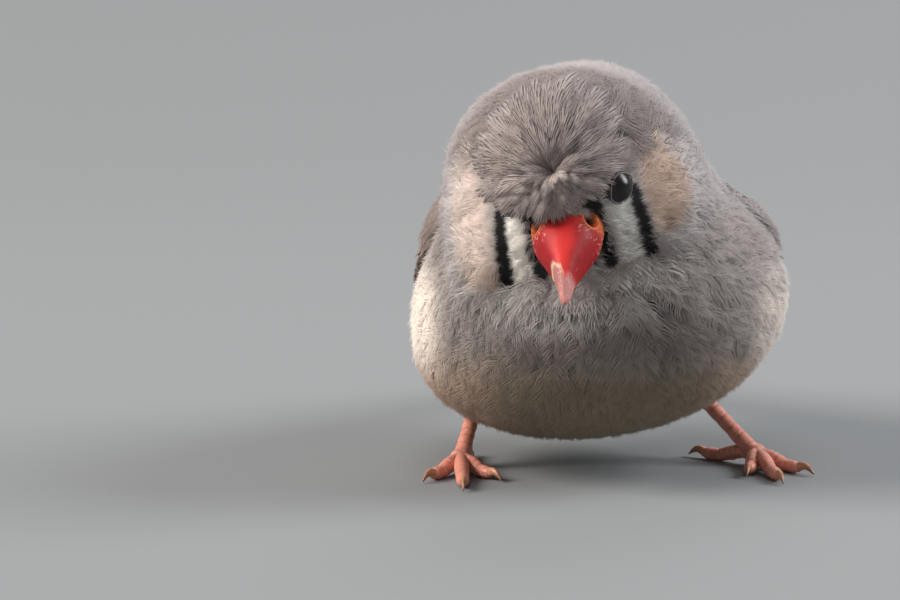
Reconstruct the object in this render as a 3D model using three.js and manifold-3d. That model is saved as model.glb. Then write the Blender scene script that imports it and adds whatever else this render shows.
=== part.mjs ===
// A crested zebra finch standing fluffed up, with its head bowed so that the whorl of its crest and
// the top of its bill face forward. Millimetres, +Z up. The bird faces -Y and its left side is +X.
import * as THREE from "three";
import { mergeVertices } from "three/addons/utils/BufferGeometryUtils.js";
import Module from "manifold-3d";

const wasm = await Module();
wasm.setup();

// Driving sizes of the whole bird
const GAP = 0.3; // clearance between touching pieces
const BODY_WIDTH = 41.2;
const BODY_LENGTH = 39;
const BACK_HEIGHT = 45.6;
const BELLY_CLEARANCE = 4.8;
const TAIL_LENGTH = 35;
const TAIL_SLOPE = 24; // degrees below level
const HEAD_BOW = 35; // degrees below level
const HEAD_YAW = 5.5; // degrees towards the bird's right
const HEAD_TILT = 9; // the left side of the head is carried higher
const VANE_THICKNESS = 0.56;

const radians = THREE.MathUtils.degToRad;
const lerp = THREE.MathUtils.lerp;
const vec = (x, y, z) => new THREE.Vector3(x, y, z);
const X_AXIS = vec(1, 0, 0);
const Y_AXIS = vec(0, 1, 0);
const Z_AXIS = vec(0, 0, 1);
const turnAbout = (axis, degrees) => new THREE.Quaternion().setFromAxisAngle(axis, radians(degrees));

// The value at a place between knots of [place, value]
function between(knots, place) {
  const n = knots.findIndex((knot, i) => i > 0 && place <= knot[0]);
  const [[a, low], [b, high]] = [knots[n - 1], knots[n]];
  return lerp(low, high, (place - a) / (b - a));
}

// A small seeded generator, so that feather lengths vary the same way each time
function seeded(seed) {
  let state = seed;
  return () => {
    state = (state * 1664525 + 1013904223) % 4294967296;
    return state / 4294967296;
  };
}

// Smooth forms: ellipsoids that blend into one another, read as a distance field

function ellipsoid(centre, radii, turn = new THREE.Quaternion()) {
  return { centre, radii, turnBack: turn.clone().invert() };
}

const scratch = vec(0, 0, 0);

function ellipsoidDistance(form, point) {
  const { radii } = form;
  scratch.copy(point).sub(form.centre).applyQuaternion(form.turnBack);
  const near = Math.hypot(scratch.x / radii.x, scratch.y / radii.y, scratch.z / radii.z);
  const slope = Math.hypot(scratch.x / radii.x ** 2, scratch.y / radii.y ** 2, scratch.z / radii.z ** 2);
  return slope > 1e-9 ? (near * (near - 1)) / slope : -Math.min(radii.x, radii.y, radii.z);
}

function blendedField(forms, softness) {
  return (point) =>
    forms.reduce((soFar, form) => {
      const next = ellipsoidDistance(form, point);
      const overlap = Math.max(softness - Math.abs(soFar - next), 0) / softness;
      return Math.min(soFar, next) - (overlap * overlap * softness) / 4;
    }, Infinity);
}

// A field with an ellipsoid scooped out of it, rounded where the two meet
function hollowed(field, form, softness) {
  return (point) => {
    const outside = field(point);
    const inside = -ellipsoidDistance(form, point);
    const overlap = Math.max(softness - Math.abs(outside - inside), 0) / softness;
    return Math.max(outside, inside) + (overlap * overlap * softness) / 4;
  };
}

function gradientOf(field, point) {
  const step = 0.05;
  const slopeAlong = (axis) =>
    field(point.clone().addScaledVector(axis, step)) - field(point.clone().addScaledVector(axis, -step));
  return vec(slopeAlong(X_AXIS), slopeAlong(Y_AXIS), slopeAlong(Z_AXIS)).normalize();
}

// Distance from an inner point, along a direction, to where the field reaches a height above the surface
function reach(field, from, direction, height = 0) {
  const farthest = 60;
  const stride = 0.8;
  const probe = (distance) => field(from.clone().addScaledVector(direction, distance)) - height;
  let outer = farthest;
  while (outer > 0 && probe(outer - stride) > 0) outer -= stride;
  let inner = outer - stride;
  for (let i = 0; i < 24; i++) {
    const middle = (inner + outer) / 2;
    if (probe(middle) > 0) outer = middle;
    else inner = middle;
  }
  return inner;
}

// Moves a point along the field's slope until it lies at a height above the surface
function settle(field, point, height) {
  const settled = point.clone();
  for (let i = 0; i < 6; i++) {
    settled.addScaledVector(gradientOf(field, settled), height - field(settled));
  }
  return settled;
}

// Closed solids

function solidFrom(geometry) {
  const bare = geometry.clone();
  bare.deleteAttribute("normal");
  bare.deleteAttribute("uv");
  const merged = mergeVertices(bare, 1e-4);
  const triVerts = new Uint32Array(merged.index.array);
  const positions = merged.attributes.position;
  const corner = (n) => vec().fromBufferAttribute(positions, n);
  let volume = 0;
  for (let i = 0; i < triVerts.length; i += 3) {
    volume += corner(triVerts[i]).dot(corner(triVerts[i + 1]).cross(corner(triVerts[i + 2])));
  }
  if (volume < 0) {
    for (let i = 0; i < triVerts.length; i += 3) {
      [triVerts[i + 1], triVerts[i + 2]] = [triVerts[i + 2], triVerts[i + 1]];
    }
  }
  const vertProperties = new Float32Array(positions.array);
  return new wasm.Manifold(new wasm.Mesh({ numProp: 3, vertProperties, triVerts }));
}

const joined = (solids) => solids.reduce((all, one) => all.add(one));
const cutBy = (solid, ...cutters) => cutters.reduce((left, cutter) => left.subtract(cutter), solid);

function largestPiece(solid) {
  const pieces = solid.decompose();
  return pieces.reduce((best, piece) => (piece.volume() > best.volume() ? piece : best));
}

// The surface of a field seen from one inner point, as an even net of triangles
function roundSolid(field, centre, detail, height = 0) {
  const geometry = new THREE.IcosahedronGeometry(1, detail);
  geometry.deleteAttribute("normal");
  geometry.deleteAttribute("uv");
  const net = mergeVertices(geometry, 1e-5);
  const positions = net.attributes.position;
  for (let i = 0; i < positions.count; i++) {
    const direction = vec().fromBufferAttribute(positions, i).normalize();
    const point = centre.clone().addScaledVector(direction, reach(field, centre, direction, height));
    positions.setXYZ(i, point.x, point.y, point.z);
  }
  return solidFrom(net);
}

// A closed plate from rows of points on its upper and lower face, split alike on both faces
function plateSolid(rows) {
  const across = rows[0].top.length;
  const points = rows.flatMap((row) => [...row.top, ...row.bottom]);
  const at = (row, column, face) => row * 2 * across + (face === "top" ? 0 : across) + column;
  const faces = [];
  const quad = (a, b, c, d) => faces.push(a, b, c, a, c, d);
  for (let r = 0; r + 1 < rows.length; r++) {
    for (let c = 0; c + 1 < across; c++) {
      quad(at(r, c, "top"), at(r, c + 1, "top"), at(r + 1, c + 1, "top"), at(r + 1, c, "top"));
      const [a, b] = [at(r, c, "bottom"), at(r, c + 1, "bottom")];
      const [d, e] = [at(r + 1, c + 1, "bottom"), at(r + 1, c, "bottom")];
      faces.push(a, d, b, a, e, d);
    }
    quad(at(r, 0, "bottom"), at(r, 0, "top"), at(r + 1, 0, "top"), at(r + 1, 0, "bottom"));
    const last = across - 1;
    quad(at(r, last, "top"), at(r, last, "bottom"), at(r + 1, last, "bottom"), at(r + 1, last, "top"));
  }
  const end = rows.length - 1;
  for (let c = 0; c + 1 < across; c++) {
    quad(at(0, c, "bottom"), at(0, c + 1, "bottom"), at(0, c + 1, "top"), at(0, c, "top"));
    quad(at(end, c, "top"), at(end, c + 1, "top"), at(end, c + 1, "bottom"), at(end, c, "bottom"));
  }
  const geometry = new THREE.BufferGeometry().setFromPoints(points).setIndex(faces);
  return solidFrom(geometry);
}

// A closed round limb along a list of points, with a radius at each, flattened where squash is under 1
function limbSolid(points, radii, sides = 10, squash = 1) {
  const rings = points.map((point, i) => {
    const ahead = points[Math.min(i + 1, points.length - 1)];
    const behind = points[Math.max(i - 1, 0)];
    const along = ahead.clone().sub(behind).normalize();
    const helper = Math.abs(along.z) > 0.9 ? Y_AXIS : Z_AXIS;
    const side = helper.clone().cross(along).normalize();
    const lift = along.clone().cross(side);
    return Array.from({ length: sides }, (_, k) => {
      const angle = (2 * Math.PI * k) / sides;
      return point
        .clone()
        .addScaledVector(side, radii[i] * Math.cos(angle))
        .addScaledVector(lift, radii[i] * Math.sin(angle) * squash);
    });
  });
  const first = 0;
  const last = rings.length * sides + 1;
  const at = (ring, k) => 1 + ring * sides + (k % sides);
  const faces = [];
  for (let k = 0; k < sides; k++) {
    faces.push(first, at(0, k + 1), at(0, k));
    faces.push(last, at(rings.length - 1, k), at(rings.length - 1, k + 1));
    for (let ring = 0; ring + 1 < rings.length; ring++) {
      faces.push(at(ring, k), at(ring, k + 1), at(ring + 1, k + 1));
      faces.push(at(ring, k), at(ring + 1, k + 1), at(ring + 1, k));
    }
  }
  const all = [points[0], ...rings.flat(), points[points.length - 1]];
  return solidFrom(new THREE.BufferGeometry().setFromPoints(all).setIndex(faces));
}

// A feather vane that follows a surface: a path of points, a width and a height above it at each, and
// a tilt that lifts the edge on one side and sinks the other under its neighbour
function vaneOn(field, path, widths, heights, tilt = 0, thickness = VANE_THICKNESS) {
  const rows = path.map((point, i) => {
    const along = path[Math.min(i + 1, path.length - 1)].clone().sub(path[Math.max(i - 1, 0)]);
    const side = along.cross(gradientOf(field, point)).normalize();
    const share = i === path.length - 1 ? 0.6 : 1;
    const edges = [-1, 1].map((hand) => {
      const base = point.clone().addScaledVector(side, (hand * widths[i]) / 2);
      const height = heights[i] + hand * tilt;
      const half = (thickness * share) / 2;
      return { top: settle(field, base, height + half), bottom: settle(field, base, height - half) };
    });
    return { top: edges.map((edge) => edge.top), bottom: edges.map((edge) => edge.bottom) };
  });
  return plateSolid(rows);
}

// Where things are on the bird

const BODY_CENTRE = vec(-0.5, 2, 25);
const TAIL_ROOT = vec(0, 29, 20.5);
const tailDirection = Y_AXIS.clone().applyQuaternion(turnAbout(X_AXIS, -TAIL_SLOPE));
const tailTurn = turnAbout(X_AXIS, -TAIL_SLOPE);

const breastForm = ellipsoid(
  vec(0.3, -2, 19.6),
  vec(BODY_WIDTH / 2, BODY_LENGTH / 2, 19.6 - BELLY_CLEARANCE),
  turnAbout(Y_AXIS, -4),
);
const backForm = ellipsoid(vec(-1, 3, 28.5), vec(13.6, 16.5, BACK_HEIGHT - 28.5));
const napeForm = ellipsoid(vec(-3.6, -8, 35.2), vec(12.8, 10, 9.8));
const flankForm = ellipsoid(vec(-7.6, 1.5, 13.2), vec(12.1, 14, 8.2));
const rumpForm = ellipsoid(vec(0, 14, 20.8), vec(12.4, 19, 10.6), turnAbout(X_AXIS, -9));
const ventForm = ellipsoid(vec(-0.5, 8, 16.5), vec(15, 16.5, 11), turnAbout(X_AXIS, 14));
// The breast feathers part to leave the face and the bill free
const throatHollow = ellipsoid(vec(-6, -20.5, 28), vec(15, 8, 7.6));
const fluffField = blendedField([breastForm, backForm, napeForm, flankForm, ventForm, rumpForm], 5);
const bodyField = hollowed(fluffField, throatHollow, 4);

const tailBedForm = ellipsoid(TAIL_ROOT.clone().addScaledVector(tailDirection, 14), vec(6.4, 21, 1.8), tailTurn);
const wingBedField = blendedField([breastForm, backForm, ventForm, rumpForm, tailBedForm], 5);

// The head's own axes: forward along the bill, towards the bird's left, and up through the crown
const HEAD_CENTRE = vec(-4.2, -15.6, 34.1);
const bowTurn = turnAbout(Z_AXIS, -HEAD_YAW).multiply(turnAbout(X_AXIS, HEAD_BOW));
const headForward = vec(0, -1, 0).applyQuaternion(bowTurn);
const tiltTurn = turnAbout(headForward, HEAD_TILT);
const headTurn = tiltTurn.clone().multiply(bowTurn);
const headLeft = X_AXIS.clone().applyQuaternion(headTurn);
const headUp = Z_AXIS.clone().applyQuaternion(headTurn);

const onHead = (forward, left, up) =>
  HEAD_CENTRE.clone()
    .addScaledVector(headForward, forward)
    .addScaledVector(headLeft, left)
    .addScaledVector(headUp, up);
// Radii are given as forward, sideways and up, and the turn takes X to the bird's left and Y backward
const headForm = (place, [forward, sideways, up]) =>
  ellipsoid(onHead(...place), vec(sideways, forward, up), headTurn);

// Skull, left cheek, right cheek pressed out by the breast below it, face and chin
const headField = blendedField(
  [
    headForm([-0.4, 0, 0.6], [8.8, 7.9, 8.4]),
    headForm([-1.2, 6.4, -4.8], [6.4, 6, 6.8]),
    headForm([0.2, -7.3, -6.8], [7, 5.9, 7.6]),
    headForm([2.8, 0, -3.6], [5.6, 7.2, 5.4]),
    headForm([2.2, 0, -8.6], [6.2, 9, 5.2]),
  ],
  2.4,
);

// Head with its crest, eye sockets and lids

const EYE_RADIUS = 2.1;
const EYE_DEPTH = 1.35;
const LID_RING = 1.9;
const LID_RADIUS = 0.4;
const LID_RISE = 1.7;

function eyePlace(hand) {
  const inside = onHead(4.5, 0, 1.5);
  const outward = headLeft.clone().multiplyScalar(hand).addScaledVector(headForward, 0.12).normalize();
  const surface = inside.clone().addScaledVector(outward, reach(headField, inside, outward));
  const normal = gradientOf(headField, surface);
  return { centre: surface.clone().addScaledVector(normal, -EYE_DEPTH), normal };
}

function ballSolid(centre, radius, across = 12, up = 8) {
  const ball = new THREE.SphereGeometry(radius, across, up);
  ball.translate(centre.x, centre.y, centre.z);
  return solidFrom(ball);
}

function lidSolid({ centre, normal }) {
  const ring = new THREE.TorusGeometry(LID_RING, LID_RADIUS, 5, 14);
  ring.applyQuaternion(new THREE.Quaternion().setFromUnitVectors(Z_AXIS, normal));
  const place = centre.clone().addScaledVector(normal, LID_RISE);
  ring.translate(place.x, place.y, place.z);
  return solidFrom(ring);
}

// The whorl lies where forehead meets crown, and its feathers ray out from it over the whole cap
const WHORL_RISE = 40; // degrees from the bill's direction towards the crown
const crestAxis = headForward
  .clone()
  .multiplyScalar(Math.cos(radians(WHORL_RISE)))
  .addScaledVector(headUp, Math.sin(radians(WHORL_RISE)));
const crestForward = headForward
  .clone()
  .multiplyScalar(Math.sin(radians(WHORL_RISE)))
  .addScaledVector(headUp, -Math.cos(radians(WHORL_RISE)));

// How far the crest reaches from the whorl, in degrees, by its bearing from the forehead towards the
// bird's left. It hangs lower over the right eye than over the left one.
const crestReach = [
  [-180, 84],
  [-138, 78],
  [-112, 76],
  [-89, 73],
  [-65, 59],
  [-45, 43],
  [0, 33],
  [40, 34],
  [63, 37],
  [84, 43],
  [100, 53],
  [125, 70],
  [180, 84],
];

const crestTiers = [
  { count: 15, spread: 1, start: 0.42, offset: 0, heights: [-0.25, 0.7, 1.0, 0.9] },
  { count: 12, spread: 0.71, start: 0.28, offset: 0.5, heights: [-0.25, 1.3, 1.7, 1.6] },
  { count: 7, spread: 0.43, start: 0.12, offset: 0.25, heights: [0.7, 1.9, 2.4, 2.2] },
];

function crestVanes() {
  const vary = seeded(11);
  const steps = [0, 0.38, 0.76, 1];
  const taper = [0.5, 0.8, 1, 0.26];
  return crestTiers.flatMap((tier) =>
    Array.from({ length: tier.count }, (_, n) => {
      const around = (2 * Math.PI * (n + tier.offset + 0.25 * (vary() - 0.5))) / tier.count;
      const outward = crestForward
        .clone()
        .multiplyScalar(Math.cos(around))
        .addScaledVector(headLeft, Math.sin(around));
      const bearing = THREE.MathUtils.radToDeg(Math.atan2(Math.sin(around), Math.cos(around)));
      const fullAngle = between(crestReach, bearing) * tier.spread * (0.95 + 0.1 * vary());
      const path = steps.map((step) => {
        const angle = radians(lerp(tier.start, 1, step) * fullAngle);
        const direction = crestAxis
          .clone()
          .multiplyScalar(Math.cos(angle))
          .addScaledVector(outward, Math.sin(angle));
        return HEAD_CENTRE.clone().addScaledVector(direction, reach(headField, HEAD_CENTRE, direction));
      });
      const capRadius = 9.3 * Math.sin(radians(0.76 * fullAngle));
      const width = ((2 * Math.PI * capRadius) / tier.count) * 0.95;
      return vaneOn(headField, path, taper.map((share) => share * width), tier.heights);
    }),
  );
}

// The short feathers at the middle of the whorl, which the top tier is rooted in
function whorlCore() {
  const surface = HEAD_CENTRE.clone().addScaledVector(crestAxis, reach(headField, HEAD_CENTRE, crestAxis));
  return ballSolid(surface, 1.8, 8, 6);
}

// Bill: two horny halves with the line of the mouth between them

const BILL_BASE = 6.2; // how far forward of the head's centre the hidden root of the bill lies
const BILL_TIP = 17.3;
const CULMEN_RISE = 1.8;
const GONYS_DROP = -6.2;
const MOUTH_BASE = -2.6;
const MOUTH_TIP = -2.9;
const BILL_SIDES = 10;
// Half the bill's width by the share of its length from the hidden root
const billWidths = [
  [0, 3.7],
  [0.24, 3.7],
  [0.38, 3.4],
  [0.51, 2.8],
  [0.62, 2.15],
  [0.74, 1.45],
  [0.88, 0.75],
  [1, 0.3],
];

// With some room it is the space that the body's feathers leave round the bill
function billHalf(upper, room = 0) {
  const rows = billWidths.map((knot) => knot[0]);
  const tip = (upper ? BILL_TIP : BILL_TIP - 0.9) + room;
  const away = upper ? 1 : -1;
  const rings = rows.map((t) => {
    const forward = lerp(BILL_BASE, tip, t);
    const mouth = lerp(MOUTH_BASE, MOUTH_TIP, t) + away * (GAP / 2 - room);
    const ridge = upper
      ? lerp(CULMEN_RISE, MOUTH_TIP + 0.55, t ** 1.5) + room
      : lerp(GONYS_DROP, MOUTH_TIP - 0.6, t ** 1.15) - room;
    const half = between(billWidths, t) * (upper ? 1 : 0.93) + room;
    const middle = onHead(forward, 0, mouth);
    const arch = Array.from({ length: BILL_SIDES + 1 }, (_, k) => {
      const angle = (Math.PI * k) / BILL_SIDES;
      const side = half * Math.cos(angle);
      const rise = (ridge - mouth) * Math.sin(angle) ** 0.8;
      return middle.clone().addScaledVector(headLeft, side).addScaledVector(headUp, rise);
    });
    return [middle, ...arch];
  });
  const size = rings[0].length;
  const at = (ring, k) => ring * size + (k % size);
  const faces = [];
  for (let ring = 0; ring + 1 < rings.length; ring++) {
    for (let k = 0; k < size; k++) {
      faces.push(at(ring, k), at(ring, k + 1), at(ring + 1, k + 1));
      faces.push(at(ring, k), at(ring + 1, k + 1), at(ring + 1, k));
    }
  }
  const end = rings.length - 1;
  for (let k = 1; k + 1 < size; k++) {
    faces.push(at(0, 0), at(0, k + 1), at(0, k));
    faces.push(at(end, 0), at(end, k), at(end, k + 1));
  }
  return solidFrom(new THREE.BufferGeometry().setFromPoints(rings.flat()).setIndex(faces));
}

function nostril(hand) {
  const place = onHead(8.3, hand * 2.75, 0.35);
  return ballSolid(place, 0.8, 8, 6);
}

// Wings, folded along the back over the rump and the root of the tail

// Height of the line inside the body that wing places are measured round
const coreKnots = [
  [-15, 26],
  [10, 25],
  [TAIL_ROOT.y, TAIL_ROOT.z],
  [70, TAIL_ROOT.z - (70 - TAIL_ROOT.y) * Math.tan(radians(TAIL_SLOPE))],
];

// A place on the body by its distance back from the breast and its angle up from level
function flankPoint(hand, y, degrees) {
  const from = vec(0, y, between(coreKnots, y));
  const direction = vec(hand * Math.cos(radians(degrees)), 0, Math.sin(radians(degrees)));
  return from.clone().addScaledVector(direction, reach(wingBedField, from, direction));
}

const wingTiers = [
  {
    count: 7, // primaries, from the innermost down to the outermost
    width: 4.2,
    height: 0.6,
    root: (n) => [8, 20 - 4.2 * n],
    tip: (n) => [30 + 2.2 * n, 60 - 3.4 * n],
  },
  {
    count: 6, // secondaries, with the tertials last
    width: 4.6,
    height: 1.05,
    root: (n) => [10, 7 + 4 * n],
    tip: (n) => [27 + (n < 5 ? 1.3 * n : 4), 38 + 6.6 * n],
  },
  {
    count: 6, // greater coverts
    width: 4.1,
    height: 1.5,
    root: (n) => [6, -5 + 4.4 * n],
    tip: (n) => [14.5 + 0.8 * n, 3 + 8.4 * n],
  },
];

function wingVane(hand, tier, n) {
  const steps = [0, 0.42, 0.84, 1];
  const taper = [0.6, 0.95, 1, 0.26];
  const [rootY, rootAngle] = tier.root(n);
  const [tipY, tipAngle] = tier.tip(n);
  const path = steps.map((step) => flankPoint(hand, lerp(rootY, tipY, step), lerp(rootAngle, tipAngle, step)));
  const widths = taper.map((share) => share * tier.width);
  const heights = steps.map(() => tier.height);
  return vaneOn(wingBedField, path, widths, heights, -hand * 0.26);
}

// The fleshy arm and hand under the coverts, which every vane of the wing is rooted in
function wingCore(hand) {
  const stations = [0, 2, 5.5, 10, 15, 20];
  const low = [4, -7, -9, -3, 6, 18];
  const high = [9, 14, 19, 29, 40, 46];
  const rise = [0.75, 1.3, 1.9, 1.7, 1.3, 0.9];
  const columns = 5;
  const rows = stations.map((y, i) => {
    const angles = Array.from({ length: columns }, (_, c) => lerp(low[i], high[i], c / (columns - 1)));
    const places = angles.map((angle) => flankPoint(hand, y, angle));
    const crown = (c) => 0.75 + (rise[i] - 0.75) * Math.sin((Math.PI * (c + 0.5)) / columns);
    return {
      top: places.map((place, c) => settle(wingBedField, place, crown(c))),
      bottom: places.map((place) => settle(wingBedField, place, -0.8)),
    };
  });
  return plateSolid(rows);
}

function wingSolid(hand) {
  const vanes = wingTiers.flatMap((tier) =>
    Array.from({ length: tier.count }, (_, n) => wingVane(hand, tier, n)),
  );
  return joined([wingCore(hand), ...vanes]);
}

// Tail: twelve tail feathers under a tier of long upper coverts and over a shorter lower one

const tailSide = X_AXIS.clone();
const tailUp = Z_AXIS.clone().applyQuaternion(tailTurn);

function tailVane({ hand, inset, start, length, splay, rise, width, roll, droop = 0 }) {
  const steps = [0, 0.5, 0.93, 1];
  const taper = [0.6, 0.95, 1, 0.36];
  const along = tailDirection
    .clone()
    .applyAxisAngle(tailUp, radians(-hand * splay))
    .normalize();
  const across = tailUp.clone().cross(along).normalize();
  const rows = steps.map((step, i) => {
    const sideways = across.clone().applyAxisAngle(along, radians(hand * roll));
    const normal = along.clone().cross(sideways).normalize();
    const middle = TAIL_ROOT.clone()
      .addScaledVector(tailSide, hand * inset)
      .addScaledVector(along, start + length * step)
      .addScaledVector(tailUp, rise - droop * step * step);
    const edge = (side, face) =>
      middle
        .clone()
        .addScaledVector(sideways, (side * width * taper[i]) / 2)
        .addScaledVector(normal, (face * VANE_THICKNESS) / 2);
    return { top: [edge(-1, -1), edge(1, -1)], bottom: [edge(-1, 1), edge(1, 1)] };
  });
  return plateSolid(rows);
}

function tailSolid() {
  const pairs = 6;
  const feathers = Array.from({ length: pairs }, (_, k) =>
    [-1, 1].map((hand) =>
      tailVane({
        hand,
        inset: 0.7 + 0.52 * k,
        start: 0,
        length: TAIL_LENGTH - 0.7 * k,
        splay: 0.2 + 0.34 * k,
        rise: -0.4 * k + 0.1 * hand,
        width: 4.1,
        roll: 3 + 3 * k,
        droop: 0.8,
      }),
    ),
  ).flat();
  const upperCoverts = Array.from({ length: 3 }, (_, k) =>
    [-1, 1].map((hand) =>
      tailVane({
        hand,
        inset: 0.8 + 1.35 * k,
        start: 0,
        length: 17 - 2.6 * k,
        splay: 1 + 1.5 * k,
        rise: 1.15 - 0.42 * k + 0.1 * hand,
        width: 3.6,
        roll: 6 + 8 * k,
      }),
    ),
  ).flat();
  const lowerCoverts = Array.from({ length: 2 }, (_, k) =>
    [-1, 1].map((hand) =>
      tailVane({
        hand,
        inset: 1 + 1.6 * k,
        start: 0,
        length: 14 - 2 * k,
        splay: 1 + k,
        rise: -3.2 + 0.45 * k + 0.1 * hand,
        width: 4,
        roll: -4 - 6 * k,
      }),
    ),
  ).flat();
  const root = ellipsoid(TAIL_ROOT.clone().addScaledVector(tailUp, -0.9), vec(5.6, 10, 2.7), tailTurn);
  const stump = roundSolid(blendedField([root], 1), root.centre, 5);
  return joined([stump, ...feathers, ...upperCoverts, ...lowerCoverts]);
}

// Legs and feet, for each side: where the ankle and the joint of the toes are, and where each toe ends

const FLOOR_CLEARANCE = 0.72; // height of a toe's middle line, less than its radius, so that it has a flat
const SHANK_RADIUS = 0.95;
const TOE_RADIUS = 0.86;
const CLAW_LENGTH = 2.3;

const legs = {
  left: {
    ankle: vec(10.2, 7.6, 9.6),
    joint: vec(18.2, 0.6, 1.35),
    toes: {
      inner: { reach: [-1.5, -5.6], rise: 0.9 },
      middle: { reach: [1.2, -9.2], rise: 1.0 },
      outer: { reach: [4.2, -4.6], rise: 0.8 },
      rear: { reach: [-5.4, 4.6], rise: 0.9 },
    },
  },
  right: {
    ankle: vec(-13.2, 4.6, 7.4),
    joint: vec(-15.2, -2.6, 1.35),
    toes: {
      inner: { reach: [3.2, -4.6], rise: 0.8 },
      middle: { reach: [0.2, -9.6], rise: 1.0 },
      outer: { reach: [-3.1, -5.2], rise: 0.8 },
      rear: { reach: [1.0, 7.4], rise: 0.9 },
    },
  },
};

const floorBlock = solidFrom(new THREE.BoxGeometry(160, 160, 20).translate(0, 0, -10));

function toePath(joint, toe) {
  const [dx, dy] = toe.reach;
  return [0, 0.2, 0.45, 0.7, 0.88, 1].map((step) => {
    const lift = toe.rise * Math.sin(Math.PI * Math.min(step * 1.5, 1)) * 0.55;
    const drop = lerp(joint.z, FLOOR_CLEARANCE, Math.min(step * 2.2, 1));
    return vec(joint.x + dx * step, joint.y + dy * step, drop + lift);
  });
}

function toeSolid(joint, toe) {
  const knuckles = [1.12, 0.9, 1.02, 0.86, 0.88, 0.6];
  return limbSolid(toePath(joint, toe), knuckles.map((share) => share * TOE_RADIUS), 8);
}

function footSolid(leg) {
  const toes = Object.values(leg.toes).map((toe) => toeSolid(leg.joint, toe));
  const pad = ballSolid(leg.joint, 1.32, 12, 8);
  return cutBy(joined([pad, ...toes]), floorBlock);
}

function clawSolid(joint, toe) {
  const path = toePath(joint, toe);
  const end = path[path.length - 1];
  const along = vec(toe.reach[0], toe.reach[1], 0).normalize();
  const start = end.clone().addScaledVector(along, GAP);
  const shares = [0, 0.35, 0.7, 1];
  const points = shares.map((share) =>
    start
      .clone()
      .addScaledVector(along, CLAW_LENGTH * share)
      .addScaledVector(Z_AXIS, 0.36 * Math.sin(Math.PI * share) - 0.45 * share ** 2),
  );
  return cutBy(limbSolid(points, [0.52, 0.45, 0.31, 0.14], 8), floorBlock);
}

function shankSolid(leg) {
  const shares = [0, 0.12, 0.35, 0.65, 0.9, 1];
  const girth = [1.25, 1.2, 0.92, 0.9, 1.02, 1.05];
  const points = shares.map((share) => leg.ankle.clone().lerp(leg.joint, share));
  return limbSolid(points, girth.map((share) => share * SHANK_RADIUS), 10);
}

// Parting the bird into its pieces

const pieces = {};
const bodySolid = roundSolid(bodyField, BODY_CENTRE, 8);
const bodyRoom = roundSolid(bodyField, BODY_CENTRE, 8, GAP);
const headCore = roundSolid(headField, HEAD_CENTRE, 6);
const headRoom = roundSolid(headField, HEAD_CENTRE, 6, GAP);
const neckForm = ellipsoid(vec(-4.2, -12, 34.6), vec(15.6, 13.2, 14.4));
const neckBall = roundSolid(blendedField([neckForm], 1), neckForm.centre, 5);
const neckRoom = roundSolid(blendedField([neckForm], 1), neckForm.centre, 5, GAP);

const eyes = { left: eyePlace(1), right: eyePlace(-1) };
const sockets = Object.values(eyes).map((eye) => ballSolid(eye.centre, EYE_RADIUS + GAP));
const lids = Object.values(eyes).map(lidSolid);

const billRoom = billHalf(true, GAP).add(billHalf(false, GAP));
const crest = cutBy(joined(crestVanes()), bodyRoom, billRoom);
pieces.head = cutBy(joined([headCore, whorlCore(), ...lids, crest]), ...sockets);
pieces.neck = cutBy(bodySolid.intersect(neckBall), headRoom, billRoom);
pieces.torso = cutBy(bodySolid, neckRoom, headRoom, billRoom);
pieces.bill_upper = cutBy(billHalf(true), headRoom, nostril(1), nostril(-1));
pieces.bill_lower = cutBy(billHalf(false), headRoom);
pieces.tail = cutBy(tailSolid(), bodyRoom);
pieces.wing_left = cutBy(wingSolid(1), bodyRoom);
pieces.wing_right = cutBy(wingSolid(-1), bodyRoom);
for (const [side, leg] of Object.entries(legs)) {
  const footRoom = ballSolid(leg.joint, 1.32 + GAP, 12, 8);
  const toeRoom = Object.values(leg.toes).map((toe) => {
    const path = toePath(leg.joint, toe);
    return limbSolid(path, path.map(() => TOE_RADIUS * 1.12 + GAP), 8);
  });
  pieces["eye_" + side] = ballSolid(eyes[side].centre, EYE_RADIUS, 16, 10);
  pieces["shank_" + side] = cutBy(shankSolid(leg), bodyRoom, footRoom, ...toeRoom);
  pieces["foot_" + side] = footSolid(leg);
  for (const [toeName, toe] of Object.entries(leg.toes)) {
    pieces["claw_" + side + "_" + toeName] = clawSolid(leg.joint, toe);
  }
}

// Colour, roughness and metalness of each kind of surface
const plumage = (r, g, b) => ({ color: new THREE.Color(r, g, b), roughness: 0.85, metalness: 0 });
const finishes = {
  head: plumage(0.3, 0.26, 0.25),
  neck: plumage(0.4, 0.38, 0.38),
  torso: plumage(0.44, 0.38, 0.33),
  tail: plumage(0.06, 0.05, 0.045),
  wing: plumage(0.25, 0.2, 0.17),
  bill: { color: new THREE.Color(0.68, 0.06, 0.04), roughness: 0.38, metalness: 0 },
  eye: { color: new THREE.Color(0.02, 0.012, 0.01), roughness: 0.08, metalness: 0 },
  shank: { color: new THREE.Color(0.75, 0.22, 0.13), roughness: 0.55, metalness: 0 },
  foot: { color: new THREE.Color(0.78, 0.26, 0.16), roughness: 0.55, metalness: 0 },
  claw: { color: new THREE.Color(0.6, 0.33, 0.2), roughness: 0.45, metalness: 0 },
};

function meshFrom(name, solid) {
  const { vertProperties, triVerts, numProp, numVert } = largestPiece(solid).getMesh();
  const positions = new Float32Array(numVert * 3);
  for (let i = 0; i < numVert; i++) {
    positions.set(vertProperties.subarray(i * numProp, i * numProp + 3), i * 3);
  }
  const geometry = new THREE.BufferGeometry();
  geometry.setAttribute("position", new THREE.BufferAttribute(positions, 3));
  geometry.setIndex(new THREE.BufferAttribute(triVerts, 1));
  geometry.computeVertexNormals();
  const mesh = new THREE.Mesh(geometry, new THREE.MeshStandardMaterial(finishes[name.split("_")[0]]));
  mesh.name = name;
  return mesh;
}

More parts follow.
